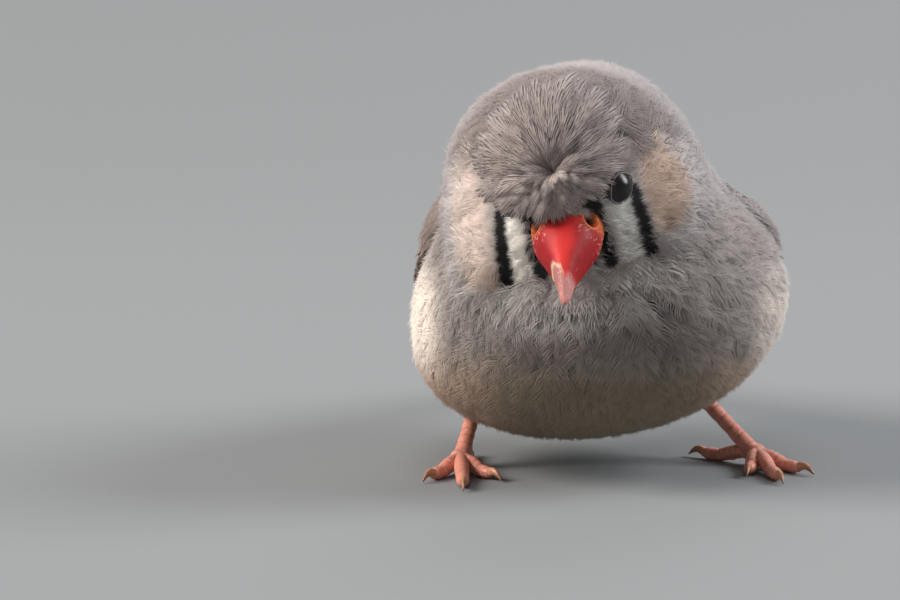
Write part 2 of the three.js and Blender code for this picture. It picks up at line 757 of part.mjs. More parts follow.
// The origin is the middle of the bird's footprint box, on the floor
const bird = new THREE.Group();
for (const [name, solid] of Object.entries(pieces)) bird.add(meshFrom(name, solid));
const extent = new THREE.Box3().setFromObject(bird);
const middle = extent.getCenter(vec());
bird.position.set(-middle.x, -middle.y, -extent.min.z);

export default bird;
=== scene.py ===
# A crested zebra finch standing fluffed up, with its head bowed. Shapes are worked out in millimetres in
# the bird's own frame, where it faces -Y, its left side is +X and Z is up, and are then set on the frame.
import math

import bmesh
import bpy
import numpy as np
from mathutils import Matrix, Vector


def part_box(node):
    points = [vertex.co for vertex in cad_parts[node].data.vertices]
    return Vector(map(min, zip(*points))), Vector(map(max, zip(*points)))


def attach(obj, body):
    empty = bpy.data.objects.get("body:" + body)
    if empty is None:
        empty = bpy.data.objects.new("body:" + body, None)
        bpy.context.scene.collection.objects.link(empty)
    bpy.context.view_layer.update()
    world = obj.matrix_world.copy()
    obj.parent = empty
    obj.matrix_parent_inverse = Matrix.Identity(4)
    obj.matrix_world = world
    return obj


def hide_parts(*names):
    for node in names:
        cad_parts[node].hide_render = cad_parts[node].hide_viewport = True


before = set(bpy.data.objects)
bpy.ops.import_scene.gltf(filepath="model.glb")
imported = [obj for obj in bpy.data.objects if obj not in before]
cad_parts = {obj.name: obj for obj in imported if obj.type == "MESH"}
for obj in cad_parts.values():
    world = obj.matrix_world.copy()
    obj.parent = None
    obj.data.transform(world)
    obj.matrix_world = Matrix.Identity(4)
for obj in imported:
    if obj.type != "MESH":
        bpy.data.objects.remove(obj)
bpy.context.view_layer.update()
chance = np.random.default_rng(7)

MM = 0.001
X_AXIS, Y_AXIS, Z_AXIS = np.eye(3)
TINY = 1e-9

# Driving sizes of the solids, in millimetres and degrees
BODY_WIDTH = 41.2
BODY_LENGTH = 39
BACK_HEIGHT = 45.6
BELLY_CLEARANCE = 4.8
BELLY_HEIGHT = 19.6
MANTLE_HEIGHT = 28.5
TAIL_LENGTH = 35
TAIL_SLOPE = 24
HEAD_BOW = 35
HEAD_YAW = 5.5
HEAD_TILT = 9
HEAD_CENTRE = np.array([-4.2, -15.6, 34.1])
BODY_CENTRE = np.array([-0.5, 2, 25])
TAIL_ROOT = np.array([0, 29, 20.5])


# Vectors in rows

def lerp(a, b, t):
    return a + (b - a) * t


def unit(rows):
    rows = np.asarray(rows, float)
    return rows / np.maximum(np.linalg.norm(rows, axis=-1, keepdims=True), TINY)


def dot(a, b):
    return (a * b).sum(-1, keepdims=True)


def smooth(low, high, value):
    t = np.clip((value - low) / (high - low), 0, 1)
    return t * t * (3 - 2 * t)


def turn_about(axis, degrees):
    x, y, z = unit(axis)
    angle = math.radians(degrees)
    cross = np.array([[0, -z, y], [z, 0, -x], [-y, x, 0]])
    return np.eye(3) + math.sin(angle) * cross + (1 - math.cos(angle)) * cross @ cross


# Smooth forms: ellipsoids that blend into one another, read as a distance field

def ellipsoid(centre, radii, turn=np.eye(3)):
    return np.asarray(centre, float), np.asarray(radii, float), turn


def ellipsoid_distance(form, points):
    centre, radii, turn = form
    local = (points - centre) @ turn
    near = np.linalg.norm(local / radii, axis=-1)
    slope = np.linalg.norm(local / radii ** 2, axis=-1)
    return np.where(slope > TINY, near * (near - 1) / np.maximum(slope, TINY), -radii.min())


def blended(fields, softness):
    def field(points):
        so_far = fields[0](points)
        for one in fields[1:]:
            following = one(points)
            overlap = np.maximum(softness - np.abs(so_far - following), 0) / softness
            so_far = np.minimum(so_far, following) - overlap ** 2 * softness / 4
        return so_far
    return field


def blended_forms(forms, softness):
    return blended([lambda points, form=form: ellipsoid_distance(form, points) for form in forms], softness)


def hollowed(field, form, softness):
    """A field with an ellipsoid scooped out of it, rounded where the two meet."""
    def scooped(points):
        outside = field(points)
        inside = -ellipsoid_distance(form, points)
        overlap = np.maximum(softness - np.abs(outside - inside), 0) / softness
        return np.maximum(outside, inside) + overlap ** 2 * softness / 4
    return scooped


GRADIENT_STEP = 0.06


def gradient(field, points):
    slopes = [field(points + step) - field(points - step) for step in GRADIENT_STEP * np.eye(3)]
    return unit(np.stack(slopes, -1))


# A search along a direction comes inward from the farthest place in strides, then halves the last stride
FARTHEST = 60.0
STRIDE = 0.8
HALVINGS = 18


def reach(field, start, directions, height=0.0):
    """How far out from the start the field comes to a height above its surface, for each direction."""
    outer = np.full(len(directions), FARTHEST)
    moving = np.ones(len(directions), bool)
    for _ in range(round(FARTHEST / STRIDE) - 1):
        probe = field(start + directions * (outer - STRIDE)[:, None]) - height
        moving &= probe > 0
        outer = np.where(moving, outer - STRIDE, outer)
    inner = outer - STRIDE
    for _ in range(HALVINGS):
        middle = (inner + outer) / 2
        outside = field(start + directions * middle[:, None]) - height > 0
        outer = np.where(outside, middle, outer)
        inner = np.where(outside, inner, middle)
    return inner


def settle(field, points, height, rounds=2):
    """Points moved to a height above a field's surface."""
    for _ in range(rounds):
        points = points + gradient(field, points) * (height - field(points))[..., None]
    return points


# The forms of body and head, the same as those of the solids

body_forms = [
    ellipsoid(
        [0.3, -2, BELLY_HEIGHT],
        [BODY_WIDTH / 2, BODY_LENGTH / 2, BELLY_HEIGHT - BELLY_CLEARANCE],
        turn_about(Y_AXIS, -4),
    ),
    ellipsoid([-1, 3, MANTLE_HEIGHT], [13.6, 16.5, BACK_HEIGHT - MANTLE_HEIGHT]),
    ellipsoid([-3.6, -8, 35.2], [12.8, 10, 9.8]),
    ellipsoid([-7.6, 1.5, 13.2], [12.1, 14, 8.2]),
    ellipsoid([-0.5, 8, 16.5], [15, 16.5, 11], turn_about(X_AXIS, 14)),
    ellipsoid([0, 14, 20.8], [12.4, 19, 10.6], turn_about(X_AXIS, -9)),
]
throat_hollow = ellipsoid([-6, -20.5, 28], [15, 8, 7.6])
body_field = hollowed(blended_forms(body_forms, 5), throat_hollow, 4)

tail_turn = turn_about(X_AXIS, -TAIL_SLOPE)
tail_direction = tail_turn @ Y_AXIS
tail_up = tail_turn @ Z_AXIS
tail_bed = ellipsoid(TAIL_ROOT + 14 * tail_direction, [6.4, 21, 1.8], tail_turn)
wing_bed_field = blended_forms([body_forms[0], body_forms[1], body_forms[4], body_forms[5], tail_bed], 5)

bow_turn = turn_about(Z_AXIS, -HEAD_YAW) @ turn_about(X_AXIS, HEAD_BOW)
head_forward = bow_turn @ -Y_AXIS
head_turn = turn_about(head_forward, HEAD_TILT) @ bow_turn
head_left = head_turn @ X_AXIS
head_up = head_turn @ Z_AXIS
head_axes = np.array([head_forward, head_left, head_up])


def on_head(forward, left, up):
    return HEAD_CENTRE + np.stack(np.broadcast_arrays(forward, left, up), -1) @ head_axes


def head_place(points):
    """How far forward, to the bird's left and up each point lies from the middle of the head."""
    return np.moveaxis((points - HEAD_CENTRE) @ head_axes.T, -1, 0)


def head_form(place, radii):
    forward, sideways, up = radii
    return ellipsoid(on_head(*place), [sideways, forward, up], head_turn)


head_field = blended_forms(
    [
        head_form([-0.4, 0, 0.6], [8.8, 7.9, 8.4]),
        head_form([-1.2, 6.4, -4.8], [6.4, 6, 6.8]),
        head_form([0.2, -7.3, -6.8], [7, 5.9, 7.6]),
        head_form([2.8, 0, -3.6], [5.6, 7.2, 5.4]),
        head_form([2.2, 0, -8.6], [6.2, 9, 5.2]),
    ],
    2.4,
)
bird_field = blended([body_field, head_field], 2.5)

EYE_RADIUS = 2.1
EYE_DEPTH = 1.35


def eye_place(hand):
    inside = on_head(4.5, 0, 1.5)
    outward = unit(head_left * hand + 0.12 * head_forward)
    surface = inside + outward * reach(head_field, inside, outward[None])[0]
    normal = gradient(head_field, surface[None])[0]
    return surface - EYE_DEPTH * normal, normal


eyes = {"left": eye_place(1), "right": eye_place(-1)}

# The frame has its origin under the middle of the bird. One eye's place in both shows how far they differ
eye_corners = np.array(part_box("eye_left"))
SHIFT = eye_corners.mean(0) / MM - eyes["left"][0]


def to_frame(points):
    """From millimetres in the bird's own frame to metres in the shared one."""
    return (points + SHIFT) * MM


# Camera, floor and light

CAMERA_PLACE = np.array([-16.4, -250, 49])
CAMERA_PITCH = 6.84
CAMERA_LENS = 90
CAMERA_SENSOR = 36

# Floor and wall, in metres
FLOOR_GREY = (0.21, 0.215, 0.215, 1)
FLOOR_SIDE = 3
FLOOR_FRONT = -1.8
BEND_START = 0.35
BEND_RADIUS = 1.4
WALL_TOP = 2.6

# Soft round lights: name, place and width in metres, watts, colour
LIGHTS = [
    ("left", (-1.65, -0.4, 1.1), 1.2, 54, (1, 0.96, 0.92)),
    ("right", (1.6, 0.0, 1.1), 1.1, 38, (0.93, 0.96, 1)),
    ("back", (0.3, 1.3, 1.6), 1.3, 8, (0.97, 0.97, 1)),
    ("above", (-0.2, -0.5, 2.0), 0.9, 10, (0.9, 0.95, 1)),
]
LIGHT_AIM = Vector((0, 0, 0.03))
SKY_COLOUR = (0.96, 0.97, 1, 1)
SKY_STRENGTH = 0.3


def add_camera():
    data = bpy.data.cameras.new("camera")
    data.lens = CAMERA_LENS
    data.sensor_width = CAMERA_SENSOR
    data.clip_start = 0.01
    data.clip_end = 10
    camera = bpy.data.objects.new("camera", data)
    camera.location = to_frame(CAMERA_PLACE)
    camera.rotation_euler = (math.radians(90 - CAMERA_PITCH), 0, 0)
    bpy.context.scene.collection.objects.link(camera)
    bpy.context.scene.camera = camera


def add_stage():
    """A pale floor that sweeps up into a wall a long way behind."""
    turns = np.linspace(0.06, math.pi / 2, 24)
    bend = [(BEND_START + BEND_RADIUS * math.sin(a), BEND_RADIUS * (1 - math.cos(a))) for a in turns]
    profile = [(FLOOR_FRONT, 0), (BEND_START, 0), *bend, (BEND_START + BEND_RADIUS, WALL_TOP)]
    vertices = [(side, y, z) for y, z in profile for side in (-FLOOR_SIDE, FLOOR_SIDE)]
    faces = [(2 * i, 2 * i + 1, 2 * i + 3, 2 * i + 2) for i in range(len(profile) - 1)]
    mesh = bpy.data.meshes.new("floor")
    mesh.from_pydata(vertices, [], faces)
    mesh.polygons.foreach_set("use_smooth", [True] * len(faces))
    mesh.materials.append(new_material("floor", 0.9, Base_Color=FLOOR_GREY)[0])
    floor = bpy.data.objects.new("floor", mesh)
    bpy.context.scene.collection.objects.link(floor)


def add_lights():
    for name, place, width, power, colour in LIGHTS:
        data = bpy.data.lights.new(name, "AREA")
        data.shape = "DISK"
        data.size = width
        data.energy = power
        data.color = colour
        light = bpy.data.objects.new(name, data)
        light.location = place
        light.rotation_euler = (LIGHT_AIM - light.location).to_track_quat("-Z", "Y").to_euler()
        bpy.context.scene.collection.objects.link(light)
    world = bpy.context.scene.world or bpy.data.worlds.new("world")
    bpy.context.scene.world = world
    world.use_nodes = True
    sky = world.node_tree.nodes["Background"]
    sky.inputs["Color"].default_value = SKY_COLOUR
    sky.inputs["Strength"].default_value = SKY_STRENGTH


# Materials

def new_material(name, roughness, **settings):
    material = bpy.data.materials.new(name)
    material.use_nodes = True
    shader = material.node_tree.nodes["Principled BSDF"]
    shader.inputs["Roughness"].default_value = roughness
    for key, value in settings.items():
        shader.inputs[key.replace("_", " ")].default_value = value
    return material, material.node_tree, shader


def add_node(tree, kind, settings=(), **inputs):
    node = tree.nodes.new("ShaderNode" + kind)
    for key, value in dict(settings).items():
        setattr(node, key, value)
    for key, value in inputs.items():
        node.inputs[key.replace("_", " ")].default_value = value
    return node


def carried(tree, name, output="Color"):
    """What a mesh carries at its points under a name."""
    return add_node(tree, "Attribute", {"attribute_name": name}).outputs[output]


def remapped(tree, value, **limits):
    """A value carried over from one range to another."""
    node = add_node(tree, "MapRange", **limits)
    tree.links.new(value, node.inputs["Value"])
    return node.outputs["Result"]


def noise(tree, scale, detail, low, high):
    """A noise over the surface between two values."""
    place = add_node(tree, "TexCoord")
    texture = add_node(tree, "TexNoise", Scale=scale, Detail=detail)
    tree.links.new(place.outputs["Object"], texture.inputs["Vector"])
    return remapped(tree, texture.outputs["Fac"], From_Min=0.3, From_Max=0.7, To_Min=low, To_Max=high)


def maths(tree, operation, a, b=0.0):
    node = add_node(tree, "Math", {"operation": operation})
    for socket, value in zip(node.inputs, (a, b)):
        if isinstance(value, (int, float)):
            socket.default_value = value
        else:
            tree.links.new(value, socket)
    return node.outputs[0]


def shaded(tree, colour, amount):
    """A colour made lighter or darker by an amount."""
    node = add_node(tree, "VectorMath", {"operation": "SCALE"})
    tree.links.new(colour, node.inputs["Vector"])
    tree.links.new(amount, node.inputs["Scale"])
    return node.outputs["Vector"]


def painted(tree, grain, detail, low, high):
    """The mesh's own paint under a fine mottling."""
    return shaded(tree, carried(tree, "paint"), noise(tree, grain, detail, low, high))


def mixed(tree, share, a, b):
    """From one colour to another plain one, by a share."""
    node = add_node(tree, "Mix", {"data_type": "RGBA"})
    factor, first, second = node.inputs["Factor"], node.inputs[6], node.inputs[7]
    tree.links.new(share, factor)
    tree.links.new(a, first)
    second.default_value = b
    return node.outputs[2]


def add_bump(tree, shader, height, distance, strength):
    node = add_node(tree, "Bump", Strength=strength, Distance=distance)
    tree.links.new(height, node.inputs["Height"])
    tree.links.new(node.outputs["Normal"], shader.inputs["Normal"])


def plumage_material():
    """Soft feather: the painted colour, with a little mottling finer than a barb."""
    material, tree, shader = new_material(
        "plumage", 0.85, Specular_IOR_Level=0.15, Sheen_Weight=0.06, Sheen_Roughness=0.6
    )
    tree.links.new(painted(tree, 900, 2, 0.88, 1.1), shader.inputs["Base Color"])
    return material


BARB_PITCH = 0.3
BARB_SLANT = 1.3


def vane_material():
    """Firm feather: fine slanting barbs on both sides of the shaft."""
    material, tree, shader = new_material("vane", 0.55, Specular_IOR_Level=0.3, Sheen_Weight=0.15)
    parts = add_node(tree, "SeparateXYZ")
    tree.links.new(carried(tree, "vane", "Vector"), parts.inputs[0])
    lag = maths(tree, "MULTIPLY", parts.outputs["Y"], BARB_SLANT)
    slant = maths(tree, "SUBTRACT", parts.outputs["X"], lag)
    barbs = maths(tree, "SINE", maths(tree, "MULTIPLY", slant, 2 * math.pi / BARB_PITCH))
    # The grooves between barbs are painted darker, a painted shade, as well as bumped
    stripes = remapped(tree, barbs, From_Min=-1, From_Max=1, To_Min=0.8, To_Max=1.12)
    colour = shaded(tree, painted(tree, 700, 3, 0.85, 1.12), stripes)
    tree.links.new(colour, shader.inputs["Base Color"])
    add_bump(tree, shader, barbs, 0.03 * MM, 0.6)
    return material


SCUFF_COLOUR = (0.6, 0.3, 0.25, 1)
WEAR_STRENGTH = 1.9


def bill_material():
    """Wax-red horn with fine flaking, worn dull and pale where the mesh says so."""
    material, tree, shader = new_material(
        "bill",
        0.42,
        Coat_Weight=0.03,
        Coat_Roughness=0.3,
        Specular_IOR_Level=0.13,
        Subsurface_Weight=0.12,
        Subsurface_Radius=(1, 0.25, 0.15),
        Subsurface_Scale=0.6 * MM,
    )
    flakes = noise(tree, 2600, 5, -1.0, 0.9)
    wear = maths(tree, "MULTIPLY", carried(tree, "wear", "Fac"), WEAR_STRENGTH)
    scuffs = remapped(tree, maths(tree, "ADD", flakes, wear), From_Min=0.85, From_Max=1.5)
    colour = mixed(tree, scuffs, painted(tree, 600, 3, 0.85, 1.12), SCUFF_COLOUR)
    tree.links.new(colour, shader.inputs["Base Color"])
    tree.links.new(remapped(tree, scuffs, To_Min=0.48, To_Max=0.75), shader.inputs["Roughness"])
    add_bump(tree, shader, maths(tree, "ADD", scuffs, noise(tree, 1500, 3, 0, 1)), 0.03 * MM, 0.5)
    return material


def horn_material(name, roughness, grain, depth, **settings):
    """A painted hard or leathery surface with a fine grain."""
    material, tree, shader = new_material(name, roughness, **settings)
    tree.links.new(painted(tree, grain, 4, 0.84, 1.14), shader.inputs["Base Color"])
    add_bump(tree, shader, noise(tree, grain * 2, 3, 0, 1), depth * MM, 0.7)
    return material


plumage = plumage_material()
vane_feather = vane_material()
bill_horn = bill_material()
leg_skin = horn_material("leg_skin", 0.45, 900, 0.05, Subsurface_Weight=0.1, Subsurface_Scale=0.5 * MM)
claw_horn = horn_material("claw_horn", 0.3, 1200, 0.02)
lid_skin = horn_material("lid_skin", 0.5, 2500, 0.04)
eye_gloss = horn_material("eye_gloss", 0.26, 1500, 0.0, Specular_IOR_Level=0.36)


# Meshes

def make_piece(
    name, points, triangles, paint, material, slot, uv, normals=None, nodes=(), extra=(), crease=None
):
    """A piece of triangles in the bird's frame, with a colour at each point, set on the frame."""
    mesh = bpy.data.meshes.new(name)
    triangles = np.asarray(triangles, np.int32)
    mesh.vertices.add(len(points))
    mesh.vertices.foreach_set("co", to_frame(points).astype(np.float32).ravel())
    mesh.loops.add(triangles.size)
    mesh.loops.foreach_set("vertex_index", triangles.ravel())
    mesh.polygons.add(len(triangles))
    mesh.polygons.foreach_set("loop_start", np.arange(0, triangles.size, 3, dtype=np.int32))
    mesh.polygons.foreach_set("use_smooth", np.ones(len(triangles), bool))
    mesh.update(calc_edges=True)
    colours = np.ones((len(points), 4), np.float32)
    colours[:, :3] = paint
    mesh.color_attributes.new("paint", "FLOAT_COLOR", "POINT").data.foreach_set("color", colours.ravel())
    for key, values in dict(extra).items():
        kind, field = ("FLOAT_VECTOR", "vector") if values.ndim == 2 else ("FLOAT", "value")
        mesh.attributes.new(key, kind, "POINT").data.foreach_set(field, values.astype(np.float32).ravel())
    layer = mesh.uv_layers.new(name="OFBake")
    layer.uv.foreach_set("vector", uv[triangles.ravel()].astype(np.float32).ravel())
    if crease is not None:
        mesh.set_sharp_from_angle(angle=math.radians(crease))
    if normals is not None:
        custom = mesh.attributes.new("custom_normal", "FLOAT_VECTOR", "POINT")
        custom.data.foreach_set("vector", normals.astype(np.float32).ravel())
    mesh.materials.append(material)
    piece = bpy.data.objects.new(name, mesh)
    bpy.context.scene.collection.objects.link(piece)
    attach(piece, "root")
    if nodes:
        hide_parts(*nodes)


def circle(count):
    """Angles evenly round a circle."""
    return np.linspace(0, 2 * math.pi, count + 1)[:-1]


def rings_about(path, side, lift, wide, high):
    """Rings about the points of a path, by how far each point of a ring lies to the side and above."""
    return path[:, None] + side * wide[..., None] + lift * high[..., None]


def loft(rings):
    """A closed form through rings of points, with a point in the middle of each end."""
    count, size = rings.shape[:2]
    index = np.arange(count * size).reshape(count, size)
    near, far = index[:-1], index[1:]
    near_next, far_next = np.roll(near, -1, 1), np.roll(far, -1, 1)
    start, end = np.full(size, count * size), np.full(size, count * size + 1)
    faces = np.concatenate(
        [
            np.stack([near, near_next, far_next], -1).reshape(-1, 3),
            np.stack([near, far_next, far], -1).reshape(-1, 3),
            np.stack([start, np.roll(index[0], -1), index[0]], -1),
            np.stack([end, index[-1], np.roll(index[-1], -1)], -1),
        ]
    )
    points = with_ends(rings)
    a, b, c = points[faces].transpose(1, 0, 2)
    if (a * np.cross(b, c)).sum() < 0:
        faces = faces[:, ::-1]
    return points, faces


def with_ends(rings):
    """Values at the points of a loft, from values on its rings."""
    flat = rings.reshape(-1, rings.shape[-1])
    return np.concatenate([flat, rings[:1].mean(1), rings[-1:].mean(1)])


CELL_MARGIN = 0.04


class Gathered:
    """Closed lofts gathered into one piece, each with its own cell of the UV map."""

    def __init__(self, cells):
        self.across = math.ceil(math.sqrt(cells))
        self.points, self.faces, self.paint, self.uv, self.extra = [], [], [], [], {}
        self.size = 0

    def add(self, rings, paint, **extra):
        points, faces = loft(rings)
        count, size = rings.shape[:2]
        u, v = (np.linspace(CELL_MARGIN, 1 - CELL_MARGIN, n) for n in (count, size))
        inside = np.stack(np.meshgrid(u, v, indexing="ij"), -1)
        cell = len(self.points)
        corner = np.array([cell % self.across, cell // self.across])
        self.uv.append((with_ends(inside) + corner) / self.across)
        self.faces.append(faces + self.size)
        self.size += len(points)
        self.points.append(points)
        self.paint.append(with_ends(paint))
        for key, values in extra.items():
            self.extra.setdefault(key, []).append(with_ends(values))

    def make(self, name, material, slot, **options):
        extra = {key: np.concatenate(values) for key, values in self.extra.items()}
        extra = {key: values[:, 0] if values.shape[1] == 1 else values for key, values in extra.items()}
        columns = [np.concatenate(column) for column in (self.points, self.faces, self.paint)]
        make_piece(name, *columns, material, slot, np.concatenate(self.uv), extra=extra, **options)


# Colour of the plumage by place: the skin and every feather read the same markings

GREY_CROWN = np.array([0.24, 0.198, 0.182])
GREY_NAPE = np.array([0.36, 0.315, 0.305])
GREY_BREAST = np.array([0.33, 0.285, 0.265])
MAUVE_BAND_AND_CHIN_SHADOW = np.array([0.2, 0.16, 0.148])
SHADED_BELLY_BUFF = np.array([0.26, 0.205, 0.145])
BELLY_SIDE = np.array([0.42, 0.3, 0.22])
VENT_WHITE = np.array([0.62, 0.57, 0.5])
FLANK_CREAM_AND_EDGE_LIGHT = np.array([0.92, 0.8, 0.7])
CHESTNUT = np.array([0.3, 0.115, 0.06])
LIT_CHEEK_CREAM = np.array([0.76, 0.625, 0.545])
CHEEK_BUFF_AND_SHADE = np.array([0.58, 0.42, 0.325])
NECK_CREAM = np.array([0.5, 0.455, 0.44])
STRIPE_BLACK = np.array([0.012, 0.011, 0.012])
STRIPE_WHITE = np.array([0.97, 0.92, 0.84])
LORE_GREY = np.array([0.48, 0.44, 0.41])
WING_BROWN = np.array([0.215, 0.16, 0.135])
TAIL_BLACK = np.array([0.022, 0.019, 0.018])
BAND_HEIGHT = 17.2
BAND_SPREAD = 2.9
SPOT_PITCH = 3.4

# Stripes of the face on the bird's left (1) and right (-1): colour, half width, and a path of places on the
# head by how far forward, out and up they lie. The right ones are pressed forward by the breast below.
FACE_STRIPES = {
    1: [
        # The white stripe on the bird's left is painted darker, a painted shade of that side of the face
        (STRIPE_WHITE * 0.62, 1.0, [(6.2, 5.5, 0.3), (6.6, 5.9, -3.2), (6.8, 6.3, -7.6)]),
        (STRIPE_BLACK, 0.75, [(7.4, 2.3, 2.3), (7.6, 3.7, 1.3), (7.6, 3.9, -1.9), (7.5, 3.9, -6.3)]),
        (STRIPE_BLACK, 0.78, [(4.3, 7.2, 0.3), (5.0, 7.5, -1.8), (5.3, 7.7, -4.3), (5.7, 7.9, -7.4)]),
    ],
    -1: [
        (STRIPE_WHITE, 1.15, [(6.5, 5.3, -0.3), (7.0, 5.7, -3.6), (7.5, 6.0, -8.0)]),
        (STRIPE_BLACK, 0.95, [(7.6, 3.7, 0.4), (7.7, 3.9, -3.2), (7.8, 3.5, -6.4)]),
        (STRIPE_BLACK, 0.8, [(4.8, 6.8, 0.4), (6.3, 7.2, -2.7), (7.1, 7.3, -5.4), (7.3, 7.5, -8.0)]),
    ],
}
# Middle and radii of the buff patch on each cheek, in the same places, how far it leans back in degrees,
# and how far it is buff, not cream: the bird's left patch is painted buff as painted shade, the right one
# cream as painted light
CHEEK_PATCHES = {
    1: ([1.4, 9.1, -2.8], [3.4, 3.5, 5.2], 12, 1.0),
    -1: ([2.8, 9.0, -3.4], [3.3, 3.7, 8.3], 43, 0.0),
}


def segment_distance(points, start, end):
    start, end = np.asarray(start, float), np.asarray(end, float)
    along = end - start
    share = np.clip(((points - start) @ along) / (along @ along), 0, 1)
    return np.linalg.norm(points - start - share[..., None] * along, axis=-1)


def markings(points):
    """The colour of the coat at each point. A marking lies over the earlier ones and fades at its edges."""
    x, y, z = points.T
    out = np.abs(x)
    forward, left, up = head_place(points)
    side = np.abs(left)
    colour = np.repeat(GREY_NAPE[None], len(points), 0)

    def lay(shade, amount):
        colour[:] = lerp(colour, shade, np.clip(amount, 0, 1)[:, None])

    # Breast, belly and vent
    front = smooth(2, -8, y)
    lay(GREY_BREAST, front * smooth(33, 27, z))
    # A dark band across the breast: partly a mauve-grey band of the plumage, partly painted shadow of the
    # chin and bill
    band = np.exp(-((z - BAND_HEIGHT + 0.01 * x ** 2) / BAND_SPREAD) ** 2)
    lay(MAUVE_BAND_AND_CHIN_SHADOW, 0.85 * front * band * smooth(15, 8, out))
    # The belly's buff is painted dark in the middle, a painted shade under the body
    belly = lerp(SHADED_BELLY_BUFF, BELLY_SIDE, smooth(8, 15, out)[:, None])
    lay(belly, smooth(16.5, 11, z - 0.1 * np.maximum(y, 0)))
    lay(VENT_WHITE, smooth(6, 16, y) * smooth(19, 13, z))

    # Flanks: cream in front, partly painted light at the body's edges that is stronger on the bird's right
    # side, then chestnut with rows of white spots
    pale_and_lit_side = smooth(15.5, 18.6, np.abs(x + 1)) * smooth(2, -2, x) + 0.6 * smooth(14.5, 18, x)
    lay(FLANK_CREAM_AND_EDGE_LIGHT, pale_and_lit_side * smooth(9, 15, z) * smooth(26, 19, z) * smooth(8, 0, y))
    flank = smooth(10, 13.5, out) * smooth(24, 20, z) * smooth(4.5, 7, z)
    flank = flank * smooth(0, 4, y) * smooth(21, 15, y)
    lay(CHESTNUT, flank)
    row = np.round(z / SPOT_PITCH)
    shift = 0.5 * (row % 2)
    spot_y = y - SPOT_PITCH * (np.round(y / SPOT_PITCH - shift) + shift)
    lay(STRIPE_WHITE, flank * smooth(1.0, 0.75, np.hypot(spot_y, z - SPOT_PITCH * row)))
    lay(VENT_WHITE, smooth(20, 27, y) * smooth(19, 24, z))

    # Crown and forehead
    head = smooth(3, -1, ellipsoid_distance(head_form([0, 0, -2], [11, 12, 12]), points))
    lay(GREY_CROWN, head * smooth(-1.5, 1, up + 0.1 * forward))
    lay(GREY_CROWN, head * smooth(-6, -2.5, up) * smooth(0.5, 2.5, forward) * smooth(9.4, 8.4, side))

    # Cheeks and face
    mirrored = np.stack([forward, side, up], -1)
    for hand, (centre, radii, lean, shaded_side) in CHEEK_PATCHES.items():
        patch = ellipsoid_distance(ellipsoid(centre, radii, turn_about(Y_AXIS, -lean)), mirrored)
        on_side = (hand * left > 0) * smooth(7.2, 6.4, forward + 0.2 * up)
        lay(NECK_CREAM, 0.8 * on_side * smooth(2.8, 0.8, patch) * smooth(2.5, 0, up))
        # The patch on the bird's left is painted buff all over, a painted shade, and the right one cream, a
        # painted light; both are buff low down
        warmth = np.maximum(shaded_side, smooth(-3.5, -8.5, up))[:, None]
        lay(lerp(LIT_CHEEK_CREAM, CHEEK_BUFF_AND_SHADE, warmth), on_side * smooth(0.7, -0.7, patch))
    beside_bill = smooth(4, 5.4, forward + 0.12 * side) * smooth(9, 7.5, side)
    lay(LORE_GREY, beside_bill * smooth(2.4, 1, up) * smooth(-11, -9.5, up))
    for hand, stripes in FACE_STRIPES.items():
        for shade, half_width, path in stripes:
            segments = zip(path[:-1], path[1:])
            distance = np.min([segment_distance(mirrored, *ends) for ends in segments], axis=0)
            distance = distance + 0.1 * np.sin(5.3 * up + 1.7 * forward) + 0.07 * np.sin(13 * up - 4 * side)
            lay(shade, (hand * left > 0) * smooth(1.12 * half_width, 0.88 * half_width, distance))
    return colour


def octahedral(directions):
    """Unwraps directions about a middle onto the unit square."""
    x, y, z = (directions / np.abs(directions).sum(-1, keepdims=True)).T
    fold = z < 0
    u = np.where(fold, (1 - np.abs(y)) * np.where(x < 0, -1, 1), x)
    v = np.where(fold, (1 - np.abs(x)) * np.where(y < 0, -1, 1), y)
    return np.stack([u, v], -1) * 0.5 + 0.5


# Skin under the coat: body and head in one closed surface

COAT_DEPTH = 3.0
FACE_COAT_DEPTH = 1.0
SKIN_MESH = 0.6
SKIN_SHADE = 0.6


def ball_mesh(subdivisions):
    mesh = bpy.data.meshes.new("net")
    builder = bmesh.new()
    bmesh.ops.create_icosphere(builder, subdivisions=subdivisions, radius=1)
    builder.to_mesh(mesh)
    builder.free()
    directions = np.array([v.co for v in mesh.vertices])
    triangles = np.array([list(p.vertices) for p in mesh.polygons])
    bpy.data.meshes.remove(mesh)
    return unit(directions), triangles


def skin_surface():
    """Body and head surfaces joined and remade as one even net."""
    directions, triangles = ball_mesh(6)
    body = BODY_CENTRE + directions * reach(body_field, BODY_CENTRE, directions, -COAT_DEPTH)[:, None]
    head = HEAD_CENTRE + directions * reach(head_field, HEAD_CENTRE, directions, -FACE_COAT_DEPTH)[:, None]
    mesh = bpy.data.meshes.new("skin_net")
    faces = np.concatenate([triangles, triangles + len(directions)])
    mesh.from_pydata(np.concatenate([body, head]).tolist(), [], faces.tolist())
    net = bpy.data.objects.new("skin_net", mesh)
    bpy.context.scene.collection.objects.link(net)
    remesh = net.modifiers.new("even", "REMESH")
    remesh.mode = "VOXEL"
    remesh.voxel_size = SKIN_MESH
    evaluated = net.evaluated_get(bpy.context.evaluated_depsgraph_get()).to_mesh()
    evaluated.calc_loop_triangles()
    points = np.array([v.co for v in evaluated.vertices])
    triangles = np.array([list(t.vertices) for t in evaluated.loop_triangles])
    bpy.data.objects.remove(net)
    bpy.data.meshes.remove(mesh)
    return points, triangles


skin_points, skin_triangles = skin_surface()
make_piece(
    "skin",
    skin_points,
    skin_triangles,
    markings(settle(bird_field, skin_points, 0)) * SKIN_SHADE,
    plumage,
    "body_plumage",
    octahedral(unit(skin_points - BODY_CENTRE)),
    nodes=("head", "neck", "torso"),
)


# Feathers

